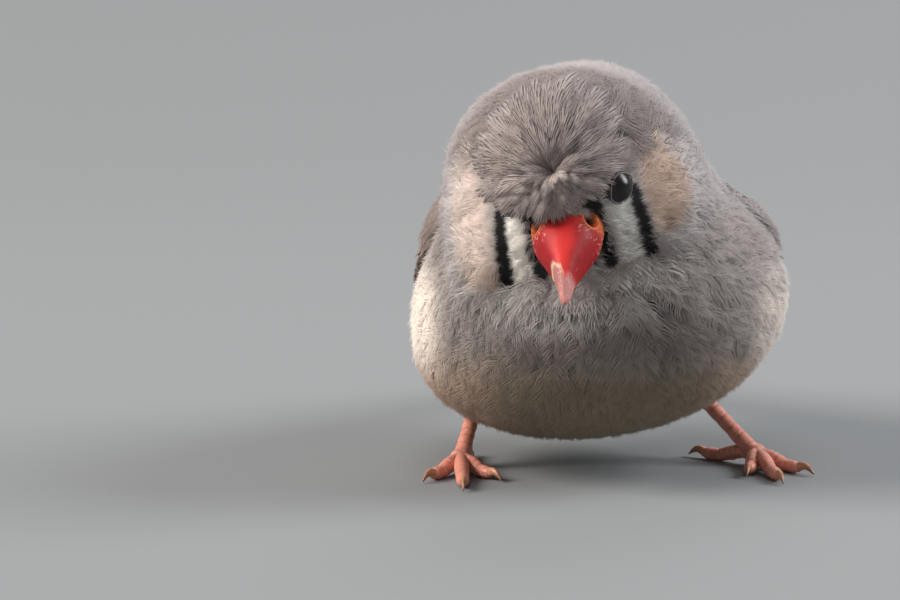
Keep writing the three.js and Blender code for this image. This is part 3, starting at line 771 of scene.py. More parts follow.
class Template:
    """A feather laid flat: where its points lie along, across and above, and how its colour varies."""

    def __init__(self):
        self.rows, self.faces = [], []

    def strip(self, line, widths, shades):
        """A narrow strip along a line of (along, across, above) points, closing to a point at its end."""
        first = len(self.rows)
        for i, ((along, across, above), width, shade) in enumerate(zip(line, widths, shades)):
            ahead, behind = line[min(i + 1, len(line) - 1)], line[max(i - 1, 0)]
            heading = np.array([ahead[0] - behind[0], ahead[1] - behind[1]])
            step_along, step_across = heading / max(np.linalg.norm(heading), TINY) * width / 2
            for hand in (-1, 1) if i + 1 < len(line) else (0,):
                self.rows.append((along - hand * step_across, across + hand * step_along, above, shade))
        for i in range(len(line) - 2):
            a = first + 2 * i
            self.faces += [(a, a + 2, a + 1), (a + 1, a + 2, a + 3)]
        a = first + 2 * (len(line) - 2)
        self.faces.append((a, a + 2, a + 1))

    def sheet(self, alongs, half_widths, shade, arch):
        """An arched leaf three points wide under a feather's barbs, painted as the shade seen in the gaps
        between them.
        """
        first = len(self.rows)
        for along, half in zip(alongs, half_widths):
            for across in (-half, 0, half):
                self.rows.append((along, across, -arch * across ** 2, shade))
        for row in range(len(alongs) - 1):
            for column in (0, 1):
                a = first + 3 * row + column
                self.faces += [(a, a + 3, a + 1), (a + 1, a + 3, a + 4)]

    def arrays(self):
        return [*np.array(self.rows, float).T, np.array(self.faces)]


def barbed(length, half_width, pairs, barb, barb_width, shaft_width, bare, droop, loose, shades, seed):
    """A feather of real size: a shaft, and barbs that leave it on both sides and sweep forward."""
    draw = np.random.default_rng(seed)
    dark, light, shaft = shades
    template = Template()
    template.strip(
        [(0, 0, 0), (0.5 * length, 0, 0.1), (length, 0, 0)],
        [shaft_width, 0.8 * shaft_width, 0],
        [shaft, shaft, light],
    )
    for n in range(pairs):
        share = bare + (1 - bare) * (n + 0.5) / pairs
        for hand in (-1, 1):
            out = half_width * (1 - 0.55 * max(0, (share - 0.55) / 0.45) ** 2) * draw.uniform(0.8, 1.1)
            forward = barb * draw.uniform(0.85, 1.1)
            start = share * length * 0.93
            lift = loose * draw.uniform(-0.3, 1) - droop
            sway = loose * draw.uniform(-0.5, 0.5)
            line = [
                (start, 0, 0.02),
                (start + 0.4 * forward, hand * 0.62 * out, 0.35 * lift),
                (start + forward, hand * (out + sway), lift),
            ]
            template.strip(line, [barb_width, barb_width * 0.9, 0], [dark, 0.5 * (dark + light), light])
    return template.arrays()


# Kinds of feather: length, half width, pairs of barbs, length and width of a barb, width of the shaft, how
# much of it is bare, droop, looseness, shades of the barbs' roots and tips and of the shaft, and seed
FEATHER_KINDS = {
    "body": (6.6, 1.7, 14, 2.7, 0.112, 0.08, 0.3, -0.06, 0.3, (0.92, 1.06, 0.96), 3),
    "face": (2.6, 0.8, 7, 1.25, 0.1, 0.09, 0.2, -0.05, 0.22, (0.85, 1.1, 0.95), 5),
    "ruff": (4.8, 1.35, 10, 2.3, 0.1, 0.08, 0.2, -0.05, 0.4, (0.92, 1.06, 0.95), 8),
    "throat": (5.2, 1.3, 11, 2.4, 0.09, 0.08, 0.25, -0.05, 0.5, (0.85, 1.1, 0.95), 6),
    "covert": (4.2, 1.25, 9, 1.7, 0.15, 0.1, 0.15, -0.02, 0.2, (0.8, 1.2, 0.7), 15),
    "shoulder": (6.2, 1.6, 11, 2.6, 0.12, 0.08, 0.25, -0.06, 0.3, (0.92, 1.06, 0.96), 17),
}
feathers = {kind: barbed(*sizes) for kind, sizes in FEATHER_KINDS.items()}
# How many roots are drawn for each kind, before those out of place are dropped
ROOTS = {"body": 12500, "face": 51000, "ruff": 26000, "throat": 30000, "covert": 620, "shoulder": 940}


def follow(field, roots, heading_at, lengths, heights, sway=0.0):
    """Lines over a surface from each root, with the surface's up and the feather's side at each station."""
    points = settle(field, roots, heights[:, 0])
    turn = chance.normal(0, sway, len(roots))[:, None]
    stations = heights.shape[1]
    stride = (lengths / (stations - 1))[:, None]
    line, ups, sides = [], [], []
    for k in range(stations):
        up = gradient(field, points)
        heading = heading_at(points)
        heading = unit(heading - dot(heading, up) * up)
        heading = heading * np.cos(turn) + np.cross(up, heading) * np.sin(turn)
        line.append(points)
        ups.append(up)
        sides.append(np.cross(up, heading))
        if k + 1 < stations:
            points = settle(field, points + heading * stride, heights[:, k + 1])
    return np.stack(line, 1), np.stack(ups, 1), np.stack(sides, 1)


# Size of each feather's patch of the bake map
BAKE_PATCH = 0.003
# A feather tilts by no more than this many times the usual tilt
TILT_LIMIT = 1.5
# How far a barb may be lowered and raised to keep to the surface
HUG_LIMITS = (-1.5, 0.2)


def plant(
    name,
    template,
    lines,
    paint,
    slot,
    centre=BODY_CENTRE,
    round_off=0.6,
    tilt=0.12,
    lean=0.0,
    size=1.0,
    field=None,
):
    """One mesh of feathers, each the template bent along its own line, painted by station or else by place.

    Given a field, the barbs keep to its surface where it bends away from the shaft.
    """
    along, across, above, shade, faces = template
    line, ups, sides = lines
    count, stations = line.shape[:2]
    share = np.clip(along / along.max(), 0, 1) * (stations - 1)
    lower = np.minimum(share.astype(int), stations - 2)
    part = (share - lower)[None, :, None]

    def between(values):
        return values[:, lower] * (1 - part) + values[:, lower + 1] * part

    up, side = between(ups), between(sides)
    breadth = size * chance.uniform(0.85, 1.15, count)
    over = across[None, :, None] * breadth[:, None, None]
    slopes = lean + chance.normal(0, tilt, count).clip(-TILT_LIMIT * tilt, TILT_LIMIT * tilt)
    rise = above[None, :, None] + over * slopes[:, None, None]
    points = between(line) + side * over + up * rise
    if field is not None:
        wanted = between(field(line)[..., None]) + rise
        points = points + up * (wanted - field(points)[..., None]).clip(*HUG_LIMITS)
    bulge = across / np.abs(across).max()
    normals = unit(up + side * (round_off * bulge)[None, :, None])
    if paint is None:
        colours = varied(points, markings(points.reshape(-1, 3)).reshape(points.shape), 0.06)
    else:
        colours = between(paint)
    patch = BAKE_PATCH * np.stack([along / along.max() - 0.5, 0.5 * bulge], -1)
    uv = np.clip(octahedral(unit(line[:, 0] - centre))[:, None] + patch[None], 0, 1)
    make_piece(
        name,
        points.reshape(-1, 3),
        (faces[None] + (np.arange(count) * len(along))[:, None, None]).reshape(-1, 3),
        (colours * shade[None, :, None]).reshape(-1, 3),
        plumage,
        slot,
        uv.reshape(-1, 2),
        normals=normals.reshape(-1, 3),
    )


def scatter(count, keep):
    """Random places on the skin, even by area, thinned by a share to keep at each place."""
    corners = skin_points[skin_triangles]
    areas = np.linalg.norm(np.cross(corners[:, 1] - corners[:, 0], corners[:, 2] - corners[:, 0]), axis=1)
    chosen = chance.choice(len(skin_triangles), count, p=areas / areas.sum())
    a, b = chance.random((2, count))
    flip = a + b > 1
    a, b = np.where(flip, 1 - a, a), np.where(flip, 1 - b, b)
    base, first, second = corners[chosen].transpose(1, 0, 2)
    places = base + (first - base) * a[:, None] + (second - base) * b[:, None]
    return places[chance.random(count) < keep(places)]


def clear_of_eyes(line, distance):
    """Which lines stay clear of both eyes at every station."""
    clear = np.ones(len(line), bool)
    for centre, _ in eyes.values():
        clear &= np.linalg.norm(line - centre, axis=-1).min(axis=1) > distance
    return clear


def pick(lines, keep):
    return tuple(values[keep] for values in lines)


def varied(line, shades, amount):
    """Colours at every station of each line, each feather a little lighter or darker than its place."""
    return shades * chance.normal(1, amount, (len(line), 1, 1)).clip(0.6, 1.4) * np.ones(line.shape)


def steady(*direction):
    """A flow with the same direction everywhere."""
    return lambda points: np.broadcast_to(np.array(direction, float), points.shape)


# Where the wings lie, by distance back from the breast and angle up from level

CORE_KNOTS = [-15, 10, 29, 70]
CORE_HEIGHTS = [26, 25, 20.5, 20.5 - 41 * math.tan(math.radians(TAIL_SLOPE))]
WING_STATIONS = [0, 2, 5.5, 10, 15, 20]
WING_LOW = [4, -7, -9, -3, 6, 18]
WING_HIGH = [9, 14, 19, 29, 40, 46]
WING_RISE = [0.75, 1.2, 1.7, 1.6, 1.3, 0.9]
SHOULDER_TOP = [15, 24, 38, 52, 63, 73]


WING_MARGIN = 5


def along_wing(y, values):
    return np.interp(y, WING_STATIONS, values)


def angle_up(x, y, z):
    """Angle up from level, in degrees, as seen from the core of the body."""
    return np.degrees(np.arctan2(z - np.interp(y, CORE_KNOTS, CORE_HEIGHTS), np.abs(x)))


def under_wing(points):
    x, y, z = points.T
    angle = angle_up(x, y, z)
    above = angle > along_wing(y, WING_LOW) + WING_MARGIN
    below = angle < along_wing(y, WING_HIGH) - WING_MARGIN
    return (y > 2) & (y < 22) & above & below


def flank_point(hand, y, degrees):
    """The place on one side of the body at a distance back and an angle up."""
    y, degrees = np.broadcast_arrays(np.asarray(y, float), np.asarray(degrees, float))
    start = np.stack([np.zeros(y.shape), y, np.interp(y, CORE_KNOTS, CORE_HEIGHTS)], -1)
    angle = np.radians(degrees)
    direction = np.stack([hand * np.cos(angle), np.zeros(y.shape), np.sin(angle)], -1)
    flat_start, flat_direction = start.reshape(-1, 3), direction.reshape(-1, 3)
    distance = reach(wing_bed_field, flat_start, flat_direction)
    return (flat_start + flat_direction * distance[:, None]).reshape(start.shape)


# Coat of the body and neck

coat_field = blended([body_field, head_field], 6)
WING_THICKNESS = 1.6


def over_wing_field(points):
    """The coat with the folded wings' thickness laid on it."""
    x, y, z = np.moveaxis(points, -1, 0)
    angle = angle_up(x, y, z)
    on_wing = smooth(4, -3, angle - along_wing(y, WING_HIGH)) * smooth(-1, 4, y)
    on_tertials = smooth(5, -3, angle - along_wing(y, SHOULDER_TOP)) * smooth(5, 12, y)
    inside = np.maximum(on_wing, 0.9 * on_tertials) * smooth(-3, 3, angle - along_wing(y, WING_LOW))
    thickness = WING_THICKNESS * inside * smooth(32, 26, y)
    return np.minimum(coat_field(points), wing_bed_field(points) - thickness)


def body_coat_field(points):
    """The surface of the body's feathers, which lie over the front of the left wing only."""
    return np.where(points[..., 0] > 0, over_wing_field(points), coat_field(points))


def body_flow(points):
    """How the body's feathers lie: away from the head, down and back over the breast, back on the rump."""
    x, y, _ = points.T
    rear = smooth(4, 18, y)
    flow = np.stack([0.015 * x, 0.8 + 0.2 * rear, -0.62 + 0.5 * rear], -1)
    near_head = smooth(7, 1, head_field(points))[:, None]
    return unit(flow) + 2.2 * near_head * gradient(head_field, points)


# The coat's pieces in order, each with what is left of its part of the body
BODY_PIECES = [
    ("nape_feathers", "nape_plumage", lambda x, y, z: (y < 2) & (z >= 30)),
    ("breast_left_feathers", "body_plumage", lambda x, y, z: (y < -2) & (z >= 13) & (x >= 0)),
    ("breast_right_feathers", "body_plumage", lambda x, y, z: (y < -2) & (z >= 13)),
    ("belly_left_feathers", "body_plumage", lambda x, y, z: (z < 13) & (x >= 0)),
    ("belly_right_feathers", "body_plumage", lambda x, y, z: z < 13),
    ("mantle_feathers", "nape_plumage", lambda x, y, z: (y < 14) & (z >= 26)),
    ("flank_left_feathers", "body_plumage", lambda x, y, z: (y < 16) & (x >= 0)),
    ("flank_right_feathers", "body_plumage", lambda x, y, z: y < 16),
    ("rump_feathers", "body_plumage", lambda x, y, z: y >= 16),
]


def body_share(places):
    """The share of feathers to keep at each place: none under the wings, fewer low down and behind."""
    _, y, z = places.T
    return np.where(under_wing(places), 0.0, 1 - 0.25 * smooth(9, 6, z) - 0.2 * smooth(14, 20, y))


def coat_heights(roots, deepest, early, late, tips):
    """Heights over the coat of each feather's four stations, from its root in the skin to its tip."""
    depths = coat_field(roots).clip(-deepest, -0.5)[:, None]
    return -depths * np.array([[-1, -early, -late, 0]]) + tips[:, None] * np.array([[0, 0.4, 0.8, 1]])


def body_coat():
    roots = scatter(ROOTS["body"], body_share)
    roots = roots[(head_field(roots) > -0.7) | (head_place(roots)[0] < 0.5)]
    beside_head = smooth(4, 0, head_field(roots))
    lengths = lerp(6.4, 5.2, beside_head) * chance.uniform(0.8, 1.15, len(roots))
    tips = chance.normal(-0.1, 0.2, len(roots)).clip(-0.4, 0.2)
    heights = coat_heights(roots, 2 * COAT_DEPTH, 0.45, 0.12, tips)
    lines = follow(body_coat_field, roots, body_flow, lengths, heights, 0.15)
    third, last = lines[0][:, 2], lines[0][:, 3]
    lines = pick(lines, (head_field(last) > -0.6) & ~on_face(last) & ~on_face(third))
    line = lines[0]
    paint = varied(line, markings(settle(bird_field, line.reshape(-1, 3), 0)).reshape(line.shape), 0.05)
    waiting = np.ones(len(line), bool)
    for name, slot, inside in BODY_PIECES:
        chosen = inside(*line[:, 0].T) & waiting
        waiting &= ~chosen
        by_station = None if name.startswith("flank") else paint[chosen]
        options = {"round_off": 0.35, "tilt": 0.08, "field": body_coat_field}
        plant(name, feathers["body"], pick(lines, chosen), by_station, slot, **options)


# Face: short feathers that lie back from the bill

def on_face(points):
    forward, left, up = head_place(points)
    return (forward > 2.5) & (np.abs(left) < 11) & (up > -9) & (head_field(points) < 2.5)


def on_bill(points):
    forward, left, up = head_place(points)
    return (forward > 6.6) & (np.abs(left) < 3.7) & (up < 1.2) & (up > -5.6)


def near_head(margin, share):
    """Keeps a share of the places that are within a margin of the head's skin."""
    return lambda places: np.where(np.abs(head_field(places) + FACE_COAT_DEPTH) < margin, share, 0.0)


def face_flow(points):
    left = head_place(points)[1]
    outward = np.sign(left) * smooth(0, 5, np.abs(left))
    return -head_forward + 0.35 * outward[:, None] * head_left - 0.45 * head_up


def face_coat():
    roots = scatter(ROOTS["face"], near_head(1.2, 1.0))
    forward, left, up = head_place(roots)
    roots = roots[(up < 4 + 0.2 * forward) & ~on_bill(roots) & (body_field(roots) > -2.5)]
    forward, left, up = head_place(roots)
    soft = smooth(5.5, 2, forward + 0.25 * up)
    lengths = lerp(2.0, 3.6, soft) * chance.uniform(0.75, 1.2, len(roots))
    tips = (chance.normal(0, 0.12, len(roots)) + 0.35 * soft * chance.random(len(roots)))[:, None]
    heights = FACE_COAT_DEPTH * np.array([[-1, -0.3, 0]]) + tips * np.array([[0, 0.6, 1]])
    lines = follow(head_field, roots, face_flow, lengths, heights, 0.16)
    lines = pick(lines, clear_of_eyes(lines[0][:, 1:], 1.95))
    left = head_place(lines[0][:, 0])[1]
    for name, chosen in (("cheek_left_feathers", left >= 0), ("cheek_right_feathers", left < 0)):
        plant(name, feathers["face"], pick(lines, chosen), None, "crown_plumage", HEAD_CENTRE, 0.6, 0.1)


def ruff_flow(points):
    past_head = smooth(-1, 2, head_field(points))[:, None]
    return lerp(unit(face_flow(points)), unit(body_flow(points)), past_head)


def ruff_coat():
    """Soft feathers that close the hollow where the cheeks meet the neck and the breast."""
    roots = scatter(ROOTS["ruff"], near_head(0.8, 0.3))
    forward, left, up = head_place(roots)
    near = (forward < np.where(up < -5.5, 8.6, 5.5)) & (forward > -5) & (up < 2)
    roots = roots[near & (np.abs(left) > 6.6) & (body_field(roots) < 2.8)]
    lengths = chance.uniform(3.6, 5.2, len(roots))
    heights = coat_heights(roots, 3, 0.35, 0.1, chance.normal(0.1, 0.2, len(roots)))
    lines = follow(coat_field, roots, ruff_flow, lengths, heights, 0.2)
    options = {"centre": HEAD_CENTRE, "round_off": 0.4, "field": coat_field}
    plant("ruff_feathers", feathers["ruff"], lines, None, "crown_plumage", **options)


def throat_flow(points):
    return np.stack(np.broadcast_arrays(0.04 * head_place(points)[1], -0.3, -1), -1)


def throat_coat():
    """Loose feathers that hang from the chin and the lower cheeks over the breast."""
    roots = scatter(ROOTS["throat"], near_head(0.8, 0.35))
    forward, left, up = head_place(roots)
    low = (up < -6.5) & (forward > 0) & (np.abs(left) < 8.5) & ~on_bill(roots) & (body_field(roots) > -2)
    roots = roots[low]
    lengths = chance.uniform(3.2, 5.6, len(roots))
    heights = coat_heights(roots, 2, 0.4, 0.1, chance.normal(0.15, 0.25, len(roots)))
    lines = follow(coat_field, roots, throat_flow, lengths, heights, 0.25)
    paint = varied(lines[0], LORE_GREY, 0.08)
    plant("throat_feathers", feathers["throat"], lines, paint, "body_plumage", HEAD_CENTRE, 0.4)


# Crest: long feathers that ray out from a whorl above the forehead

WHORL_RISE = math.radians(40)
crest_axis = math.cos(WHORL_RISE) * head_forward + math.sin(WHORL_RISE) * head_up
crest_forward = math.sin(WHORL_RISE) * head_forward - math.cos(WHORL_RISE) * head_up
HEAD_RADIUS = 9.3
# How far the crest reaches from the whorl by its bearing from the forehead towards the bird's left. It
# hangs lower over the right eye than over the left one.
CREST_BEARINGS = [-180, -138, -112, -89, -65, -45, 0, 40, 63, 84, 100, 125, 180]
CREST_REACH = [84, 78, 76, 73, 59, 43, 33, 31, 38, 46, 54, 70, 84]
CREST_CLUMPS = 29
CREST_STATIONS = np.linspace(0, 1, 7)
crest_middles = np.arange(CREST_CLUMPS) + chance.uniform(-0.25, 0.25, CREST_CLUMPS)
crest_lifts = chance.uniform(-0.25, 0.3, CREST_CLUMPS)
crest_bends = chance.normal(0, 0.08, CREST_CLUMPS)


def crest_direction(around, angle):
    outward = np.cos(around)[..., None] * crest_forward + np.sin(around)[..., None] * head_left
    return np.cos(angle)[..., None] * crest_axis + np.sin(angle)[..., None] * outward


def crest_feather(length, half_width, pairs, barb, seed):
    """A firm feather: paler barbs that lie nearly along the shaft, with a soft fringe, over a dark sheet
    that is painted shade in the gaps between them.
    """
    draw = np.random.default_rng(seed)
    arch = 0.08
    last = 0.97 - barb / length
    template = Template()
    shares = np.array([0, 0.12, 0.26, 0.42, 0.58, 0.74, 0.88])
    gap_shade_web = 0.8 * half_width * (0.3 + 0.7 * smooth(0, 0.4, shares)) * (1 - smooth(0.45, 0.9, shares))
    template.sheet(shares * length, gap_shade_web, 0.36, arch)
    template.strip([(0, 0, 0.06), (0.5 * length, 0, 0.08), (length, 0, 0)], [0.1, 0.08, 0], [0.6, 0.7, 1])
    for n in range(pairs):
        for hand in (-1, 1):
            share = (n + 0.5 + 0.25 * hand) / pairs
            start = last * length * share
            forward = barb * draw.uniform(0.86, 1.03)
            out = half_width * (1 - 0.9 * smooth(0.2, 1.05, share)) * draw.uniform(0.93, 1.05)
            # Every other pair of barbs is painted darker, a painted shade of the gaps between barbs
            tone = 1.12 + 0.16 * (-1) ** n
            line = []
            for step in (0, 0.33, 0.67, 1):
                across = hand * out * (1 - (1 - step) ** 1.3)
                above = 0.06 - arch * across ** 2 + 0.06 * step ** 3 * draw.uniform(-0.6, 1)
                line.append((start + forward * step, across, above))
            template.strip(line, [0.06, 0.095, 0.085, 0], [0.95 * tone, tone, tone, tone])
    return template.arrays()


def crest_layer(name, template, count, shares, longest, base, tone):
    """Feathers from near the whorl to a share of the crest's reach, gathered in clumps."""
    clump = np.arange(count) % CREST_CLUMPS
    offset = chance.uniform(-0.5, 0.5, count)
    around = (crest_middles[clump] + offset) * 2 * math.pi / CREST_CLUMPS
    bearing = np.degrees(np.arctan2(np.sin(around), np.cos(around)))
    behind = smooth(75, 135, np.abs(bearing))
    share = lerp(*shares, (chance.permutation(count) + 0.5) / count)
    edge = np.radians(np.interp(bearing, CREST_BEARINGS, CREST_REACH)) * share
    start = np.maximum(chance.uniform(0.02, 0.2, count) * edge, edge - longest / HEAD_RADIUS)
    bend = crest_bends[clump] + chance.normal(0, 0.04, count)
    crown = 2.6 - (1.4 + 0.6 * behind) * share + crest_lifts[clump] - 0.8 * np.abs(offset)
    crown = crown + chance.normal(0, 0.07, count)
    line, ups = [], []
    for t in CREST_STATIONS:
        directions = crest_direction(around + bend * t * t, lerp(start, edge, t))
        height = lerp(base, crown, 1 - (1 - t) ** 2.2) + 0.5 * math.sin(math.pi * t)
        ground = HEAD_CENTRE + directions * reach(coat_field, HEAD_CENTRE, directions)[:, None]
        up = gradient(coat_field, ground)
        line.append(ground + up * height[:, None])
        ups.append(up)
    line, ups = np.stack(line, 1), np.stack(ups, 1)
    heading = unit(np.gradient(line, axis=1))
    sides = unit(np.cross(ups, heading))
    clear = clear_of_eyes(line, 1.9)
    lines = pick((line, np.cross(heading, sides), sides), clear)
    # Painted darker towards each clump's edges, a painted shade in the valleys between clumps, and lighter
    # in front than behind, a painted light
    clump_shade_and_front_light = (1 - 0.35 * smooth(0.25, 0.5, np.abs(offset))) * (1.15 - 0.3 * behind) * tone
    fade = (0.8 * behind * smooth(0.75, 1, share))[clear][:, None] * smooth(0.5, 1, CREST_STATIONS)
    shades = lerp(GREY_CROWN * clump_shade_and_front_light[clear][:, None, None], GREY_NAPE * 1.05, fade[..., None])
    paint = varied(lines[0], shades, 0.07)
    size = ((edge - start)[clear] * HEAD_RADIUS / template[0].max()).clip(0.55, 1.1)
    lean = 0.45 * offset[clear]
    plant(name, template, lines, paint, "crown_plumage", HEAD_CENTRE, 0.35, 0.04, lean, size)


def crest_coat():
    long = crest_feather(length=10, half_width=1.25, pairs=12, barb=4.2, seed=9)
    short = crest_feather(length=5.5, half_width=0.95, pairs=8, barb=2.6, seed=11)
    crest_layer("crest_feathers", long, count=380, shares=(0.66, 1.06), longest=10.5, base=0.4, tone=1.36)
    # The short feathers of the whorl are painted lighter than the long ones, a painted light where the whorl
    # lies in shade
    crest_layer("whorl_feathers", short, count=100, shares=(0.24, 0.62), longest=6, base=0.9, tone=1.5)


# Wings: tiers of firm feathers over a bed of small ones

VANE_COLUMNS = np.linspace(-1, 1, 9)


def vane_outline(share, point):
    """Width of a vane along its length: narrow at the root and rounded off towards the tip."""
    tip = np.sqrt(np.clip(1 - ((share - point) / (1 - point)).clip(0, 1) ** 2, 0.0, 1))
    return (0.5 + 0.5 * smooth(0, 0.35, share)) * np.maximum(tip, 0.08)


def vane_paint(shade, edge, share, columns):
    """A vane darker along its shaft and paler at its edges and tip."""
    rim = np.maximum(np.abs(columns)[None] ** 5, smooth(0.9, 1, share)[:, None])
    shaft = np.exp(-(columns / 0.12) ** 2)[None]
    colour = lerp(shade[None, None], edge[None, None], (0.85 * rim)[..., None])
    return colour * (1 - 0.35 * shaft * (1 - rim))[..., None]


def add_vane(gathered, middle, normals, half_width, thickness, paint, uneven=0.0, tilt=0.0, heights=None):
    """A closed thin vane along a middle line, laid over the bed of the wings if it has heights over it."""
    side = unit(np.cross(normals, unit(np.gradient(middle, axis=0))))
    offsets = VANE_COLUMNS * half_width[:, None] * (1 + uneven * np.sign(VANE_COLUMNS))
    base = middle[:, None] + side[:, None] * offsets[..., None]
    half = thickness / 2 * (0.35 + 0.65 * np.exp(-(VANE_COLUMNS / 0.25) ** 2))
    rise = np.broadcast_to(tilt * VANE_COLUMNS, offsets.shape)
    if heights is None:
        top, bottom = (base + normals[:, None] * (rise + part)[..., None] for part in (half, -half))
    else:
        rise = rise + heights[:, None]
        top, bottom = (settle(wing_bed_field, base, rise + part, 3) for part in (half, -half))
    distance = np.concatenate([[0], np.cumsum(np.linalg.norm(np.diff(middle, axis=0), axis=1))])
    place = np.stack(np.broadcast_arrays(distance[:, None], np.abs(offsets), 0.0), -1)
    faces = ((top, bottom), (paint, paint), (place, place))
    rings, paint, place = (np.concatenate([over, under[:, ::-1]], 1) for over, under in faces)
    gathered.add(rings, paint, vane=place)


# Tiers of a wing: count, half width, height, root (distance back, angle) and its step, tip and its step
WING_TIERS = [
    (9, 1.75, 0.4, (8, 20), (0, -3.3), (30, 61), (1.75, -2.7)),
    (8, 1.9, 0.7, (9, 7), (0, 3.0), (26, 37), (0.9, 5.0)),
    (3, 2.3, 0.9, (9, 30), (0, 3), (31, 68), (-1.5, 5)),
    (9, 1.35, 1.1, (5, -6), (0, 2.9), (15, 1), (0.45, 5.6)),
    (10, 1.1, 1.35, (3, -5), (0, 2.2), (9.4, 0), (0.2, 3.6)),
]
WING_VANE = 0.2
WING_CORE_DEPTH = 0.8


def wing_core(gathered, hand):
    """The solid bed under a wing's feathers."""
    y = np.linspace(0, 20, 17)
    share = np.linspace(0, 1, 13)
    angles = lerp(along_wing(y, WING_LOW)[:, None], along_wing(y, WING_HIGH)[:, None], share)
    places = flank_point(hand, y[:, None], angles)
    crown = 0.6 + (along_wing(y, WING_RISE)[:, None] - 0.9) * np.sin(math.pi * share)
    top, bottom = (settle(wing_bed_field, places, height) for height in (crown, -WING_CORE_DEPTH))
    rings = np.concatenate([top, bottom[:, ::-1]], 1)
    gathered.add(rings, np.broadcast_to(WING_BROWN * 0.7, rings.shape), vane=np.zeros(rings.shape))


def wing(hand, side):
    gathered = Gathered(sum(tier[0] for tier in WING_TIERS) + 1)
    stations = np.linspace(0, 1, 15)
    for count, half_width, height, root, root_step, tip, tip_step in WING_TIERS:
        for n in range(count):
            root_y, root_angle = np.add(root, np.multiply(n, root_step))
            tip_y, tip_angle = np.add(tip, np.multiply(n, tip_step))
            middle = flank_point(hand, lerp(root_y, tip_y, stations), lerp(root_angle, tip_angle, stations))
            shade = WING_BROWN * chance.uniform(0.88, 1.1)
            add_vane(
                gathered,
                middle,
                gradient(wing_bed_field, middle),
                half_width * vane_outline(stations, 0.78),
                WING_VANE,
                vane_paint(shade, WING_BROWN * 1.45, stations, VANE_COLUMNS),
                uneven=-0.25 * hand,
                tilt=-0.3 * hand,
                heights=height + 0.15 * stations,
            )
    wing_core(gathered, hand)
    gathered.make("wing_feathers_" + side, vane_feather, "wing_plumage", nodes=("wing_" + side,), crease=50)


# Front coverts of each wing: how many degrees they reach past its upper edge, between which places they rise
# and between which they turn brown. The left ones lie low, under the body's feathers.
COVERT_FRONTS = {1: (1, (2, 7), (3, 9)), -1: (6, (-2, 3), (-5, 1))}


def wing_coverts(hand, side):
    """Small soft feathers over the shoulder of the wing."""
    past_edge, rising, browning = COVERT_FRONTS[hand]
    count = ROOTS["covert"]
    y = chance.uniform(-1.5, 9.5, count)
    angle = lerp(along_wing(y, WING_LOW) - 4, along_wing(y, WING_HIGH) + past_edge, chance.random(count))
    roots = flank_point(hand, y, angle)
    rise = 1.2 * smooth(*rising, y)[:, None]
    heights = rise + np.array([[-0.6, 0.2, 0.35, 0.3]]) + chance.normal(0, 0.1, (count, 1))
    lengths = 3.9 * chance.uniform(0.85, 1.15, count)
    lines = follow(wing_bed_field, roots, steady(0, 1, 0.05), lengths, heights, 0.12)
    brown = smooth(*browning, lines[0][..., 1:2])
    paint = varied(lines[0], lerp(GREY_NAPE * 0.85, WING_BROWN * 1.1, brown), 0.08)
    plant("wing_coverts_" + side, feathers["covert"], lines, paint, "wing_plumage", round_off=0.6, tilt=0.1)


def shoulder_coat(hand, side):
    """Soft body feathers that lie over the upper edge and the shoulder of the folded wing."""
    count = ROOTS["shoulder"]
    y = chance.uniform(-4.5, 20, count)
    low, high = along_wing(y, WING_HIGH) - 7 * smooth(-6, 3, y), along_wing(y, SHOULDER_TOP) + 5
    roots = flank_point(hand, y, lerp(low, high, chance.random(count)))
    lengths = chance.uniform(4.6, 6.4, count)
    heights = np.array([[-1.2, 0.1, 0.35, 0.3]]) + chance.normal(0, 0.15, (count, 1))
    lines = follow(over_wing_field, roots, steady(hand * 0.35, 1, -0.28), lengths, heights, 0.15)
    root_shades = markings(settle(bird_field, lines[0][:, 0], 0))[:, None]
    brown = np.array([0, 0.05, 0.15, 0.3])[None, :, None]
    if hand < 0:
        brown = np.maximum(brown, 0.85 * smooth(10, 5, lines[0][:, :1, 1:2]))
    paint = varied(lines[0], lerp(root_shades, WING_BROWN * 1.15, brown), 0.06)
    name = "shoulder_feathers_" + side
    plant(name, feathers["shoulder"], lines, paint, "nape_plumage", round_off=0.5, field=over_wing_field)


# Tail: twelve firm feathers between barred upper coverts and white lower ones

# Tiers of the tail: feathers a side, then, each with its step, how far out they start, their length, splay,
# rise and roll, and at last the rise of one side, half width, droop and where the tip begins to round off
TAIL_TIERS = [
    (6, (0.7, 0.52), (TAIL_LENGTH, -0.7), (0.2, 0.34), (0, -0.4), (3, 3), 0.1, 2.05, 0.8, 0.88),
    (5, (0.7, 0.9), (17.5, -1.8), (1, 1), (1.5, -0.3), (6, 5), 0.12, 1.75, 0.3, 0.8),
    (3, (1, 1.1), (14, -1.6), (1, 1), (-3.2, 0.35), (-4, -5), 0.1, 2.0, 0.2, 0.8),
]
TAIL_VANE = 0.24
TAIL_CORE_RADII = (10, 5.4, 2.5)


